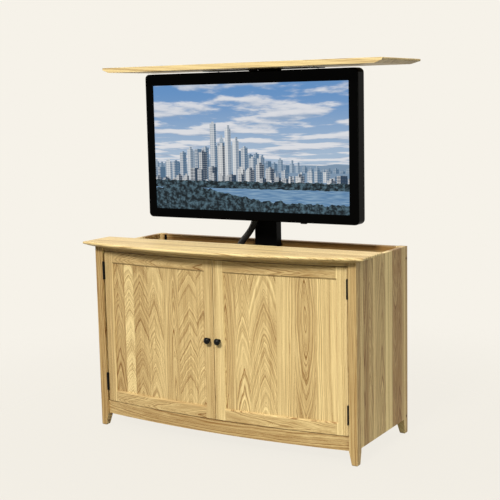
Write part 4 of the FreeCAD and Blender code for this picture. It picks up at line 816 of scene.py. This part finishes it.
picture = Finish(
    "lit_picture", {"Base Color": (0, 0, 0, 1), "Roughness": 0.2, "Specular IOR Level": 0.1}
)
x, _, z = picture.split(picture.where())
screen_low, screen_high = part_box("tv_screen")
margins = 2 * SCREEN_MARGIN
s = (x - (screen_low.x + SCREEN_MARGIN)) / (screen_high.x - screen_low.x - margins)
t = (z - (screen_low.z + SCREEN_MARGIN)) / (screen_high.z - screen_low.z - margins)
view = cloudy_sky(picture, s, t)
ridge = picture.noise(picture.join(s * 3, 0.0), detail=4.0) * 0.09 + 0.33
view = picture.mix(t < ridge, view, HILLS)
for row in TOWER_ROWS:
    view = tower_row(picture, view, s, t, *row)
ripples = picture.noise(picture.join(s * 14, t * 120), detail=3.0)
water = picture.mix(ripples.ramp(0.35, 0.7), WATER_DARK, WATER_PALE)
shore = picture.noise(picture.join(s * 9, 3.0), detail=3.0) * 0.06 + 0.19
view = picture.mix(t < shore, view, water)
leaves = picture.noise(picture.join(s * 46, t * 30), detail=4.0, roughness=0.7)
foliage = picture.mix(leaves.ramp(0.42, 0.66), LEAVES_DARK, LEAVES_PALE)
crowns = picture.noise(picture.join(s * 22, 9.0), detail=3.0) * 0.10
grove = crowns + bell(s, 0.15, 3.2) * 0.12 - 0.01
view = picture.mix(t < grove + 0.03, view, foliage)
belt = (t < crowns * 0.6 + 0.205) * (t > crowns * 0.25 + 0.165)
view = picture.mix(belt, view, foliage)
picture.feed(Emission_Color=view)
picture.surface.inputs["Emission Strength"].default_value = 1.0
picture.onto("tv_screen")


# ---------------------------------------------------------------------------------- cable sleeve
# A woven black sleeve takes the television's leads down to the floor. It is limp and hangs from
# the television's gland.
SLEEVE_SIZE = 0.028
SLEEVE_SIDES = 24
STRANDS_ROUND = 14
BRAID_RELIEF = 0.0006
YARN_DARK, YARN_PALE = (0.003, 0.003, 0.003, 1), (0.013, 0.013, 0.014, 1)
SLEEVE_ROUTE = [
    (-0.026, 0.152, 0.943),
    (-0.026, 0.152, 0.910),
    (-0.037, 0.155, 0.875),
    (-0.064, 0.158, 0.837),
    (-0.104, 0.160, 0.796),
    (-0.133, 0.163, 0.748),
    (-0.150, 0.166, 0.692),
    (-0.157, 0.168, 0.630),
    (-0.154, 0.170, 0.568),
    (-0.145, 0.172, 0.506),
    (-0.138, 0.171, 0.444),
    (-0.141, 0.169, 0.382),
    (-0.152, 0.168, 0.320),
    (-0.162, 0.170, 0.262),
    (-0.164, 0.172, 0.210),
    (-0.165, 0.172, 0.168),
    (-0.165, 0.172, 0.1285),
]


def spline_points(route):
    """Points read from the smooth NURBS line through a route."""
    curve = bpy.data.curves.new("route", "CURVE")
    curve.dimensions = "3D"
    curve.resolution_u = 12
    spline = curve.splines.new("NURBS")
    spline.points.add(len(route) - 1)
    spline.points.foreach_set("co", np.column_stack([route, np.ones(len(route))]).ravel())
    spline.order_u = 3
    spline.use_endpoint_u = True
    holder = bpy.data.objects.new("route", curve)
    line = bpy.data.meshes.new_from_object(holder)
    points = np.zeros(len(line.vertices) * 3)
    line.vertices.foreach_get("co", points)
    bpy.data.objects.remove(holder)
    return points.reshape(-1, 3)


def tube_along(name, points, radius, sides):
    """A closed round tube along a line. At each point a ring lies square to the line, set by the
    line's heading and the y axis. Its map runs round and, in metres, along."""
    heading = np.gradient(points, axis=0)
    heading /= np.linalg.norm(heading, axis=1)[:, None]
    first = np.cross(heading, (0.0, 1.0, 0.0))
    first /= np.linalg.norm(first, axis=1)[:, None]
    second = np.cross(heading, first)
    angle = np.linspace(0, 2 * np.pi, sides, endpoint=False)[None, :, None]
    rings = points[:, None] + radius * (
        first[:, None] * np.cos(angle) + second[:, None] * np.sin(angle)
    )
    ends = [np.repeat(points[[end], None], sides, 1) for end in (0, -1)]
    run = np.concatenate([[0], np.cumsum(np.linalg.norm(np.diff(points, axis=0), axis=1))])
    run = np.concatenate([[run[0]], run, [run[-1]]])
    grid = np.concatenate([ends[0], rings, ends[1]])
    return surface(name, grid, close_around=True, uv=(1.0, run))


sleeve_line = spline_points(SLEEVE_ROUTE)
sleeve = tube_along("braided_sleeve", sleeve_line, SLEEVE_SIZE / 2, SLEEVE_SIDES)
braid = Finish("braided_sleeve_yarn", {"Roughness": 0.62, "Specular IOR Level": 0.3})
u, v, _ = braid.split(braid.node("ShaderNodeTexCoord", output="UV"))
across, lengthwise = u * STRANDS_ROUND, v * STRANDS_ROUND / (math.pi * SLEEVE_SIZE)
one_way = ((across + lengthwise) * math.tau).math("SINE")
other_way = ((across - lengthwise) * math.tau).math("SINE")
weave = one_way.math("MAXIMUM", other_way)
braid.feed(Base_Color=braid.mix(weave.ramp(-0.2, 1.0), YARN_DARK, YARN_PALE))
braid.bump(weave, BRAID_RELIEF, 0.8)
braid.onto("braided_sleeve")
dark_plastic.onto("floor_cable_gland")
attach(sleeve, "cabinet")
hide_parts("cable_sleeve")
floor_gland_mouth = SLEEVE_ROUTE[-1]
lift = next(joint for joint in frame["joints"] if joint["name"] == "lift")
hang = SLEEVE_ROUTE[0][2] - floor_gland_mouth[2]
(hang + lift["range_m"][0]) / hang
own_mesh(sleeve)
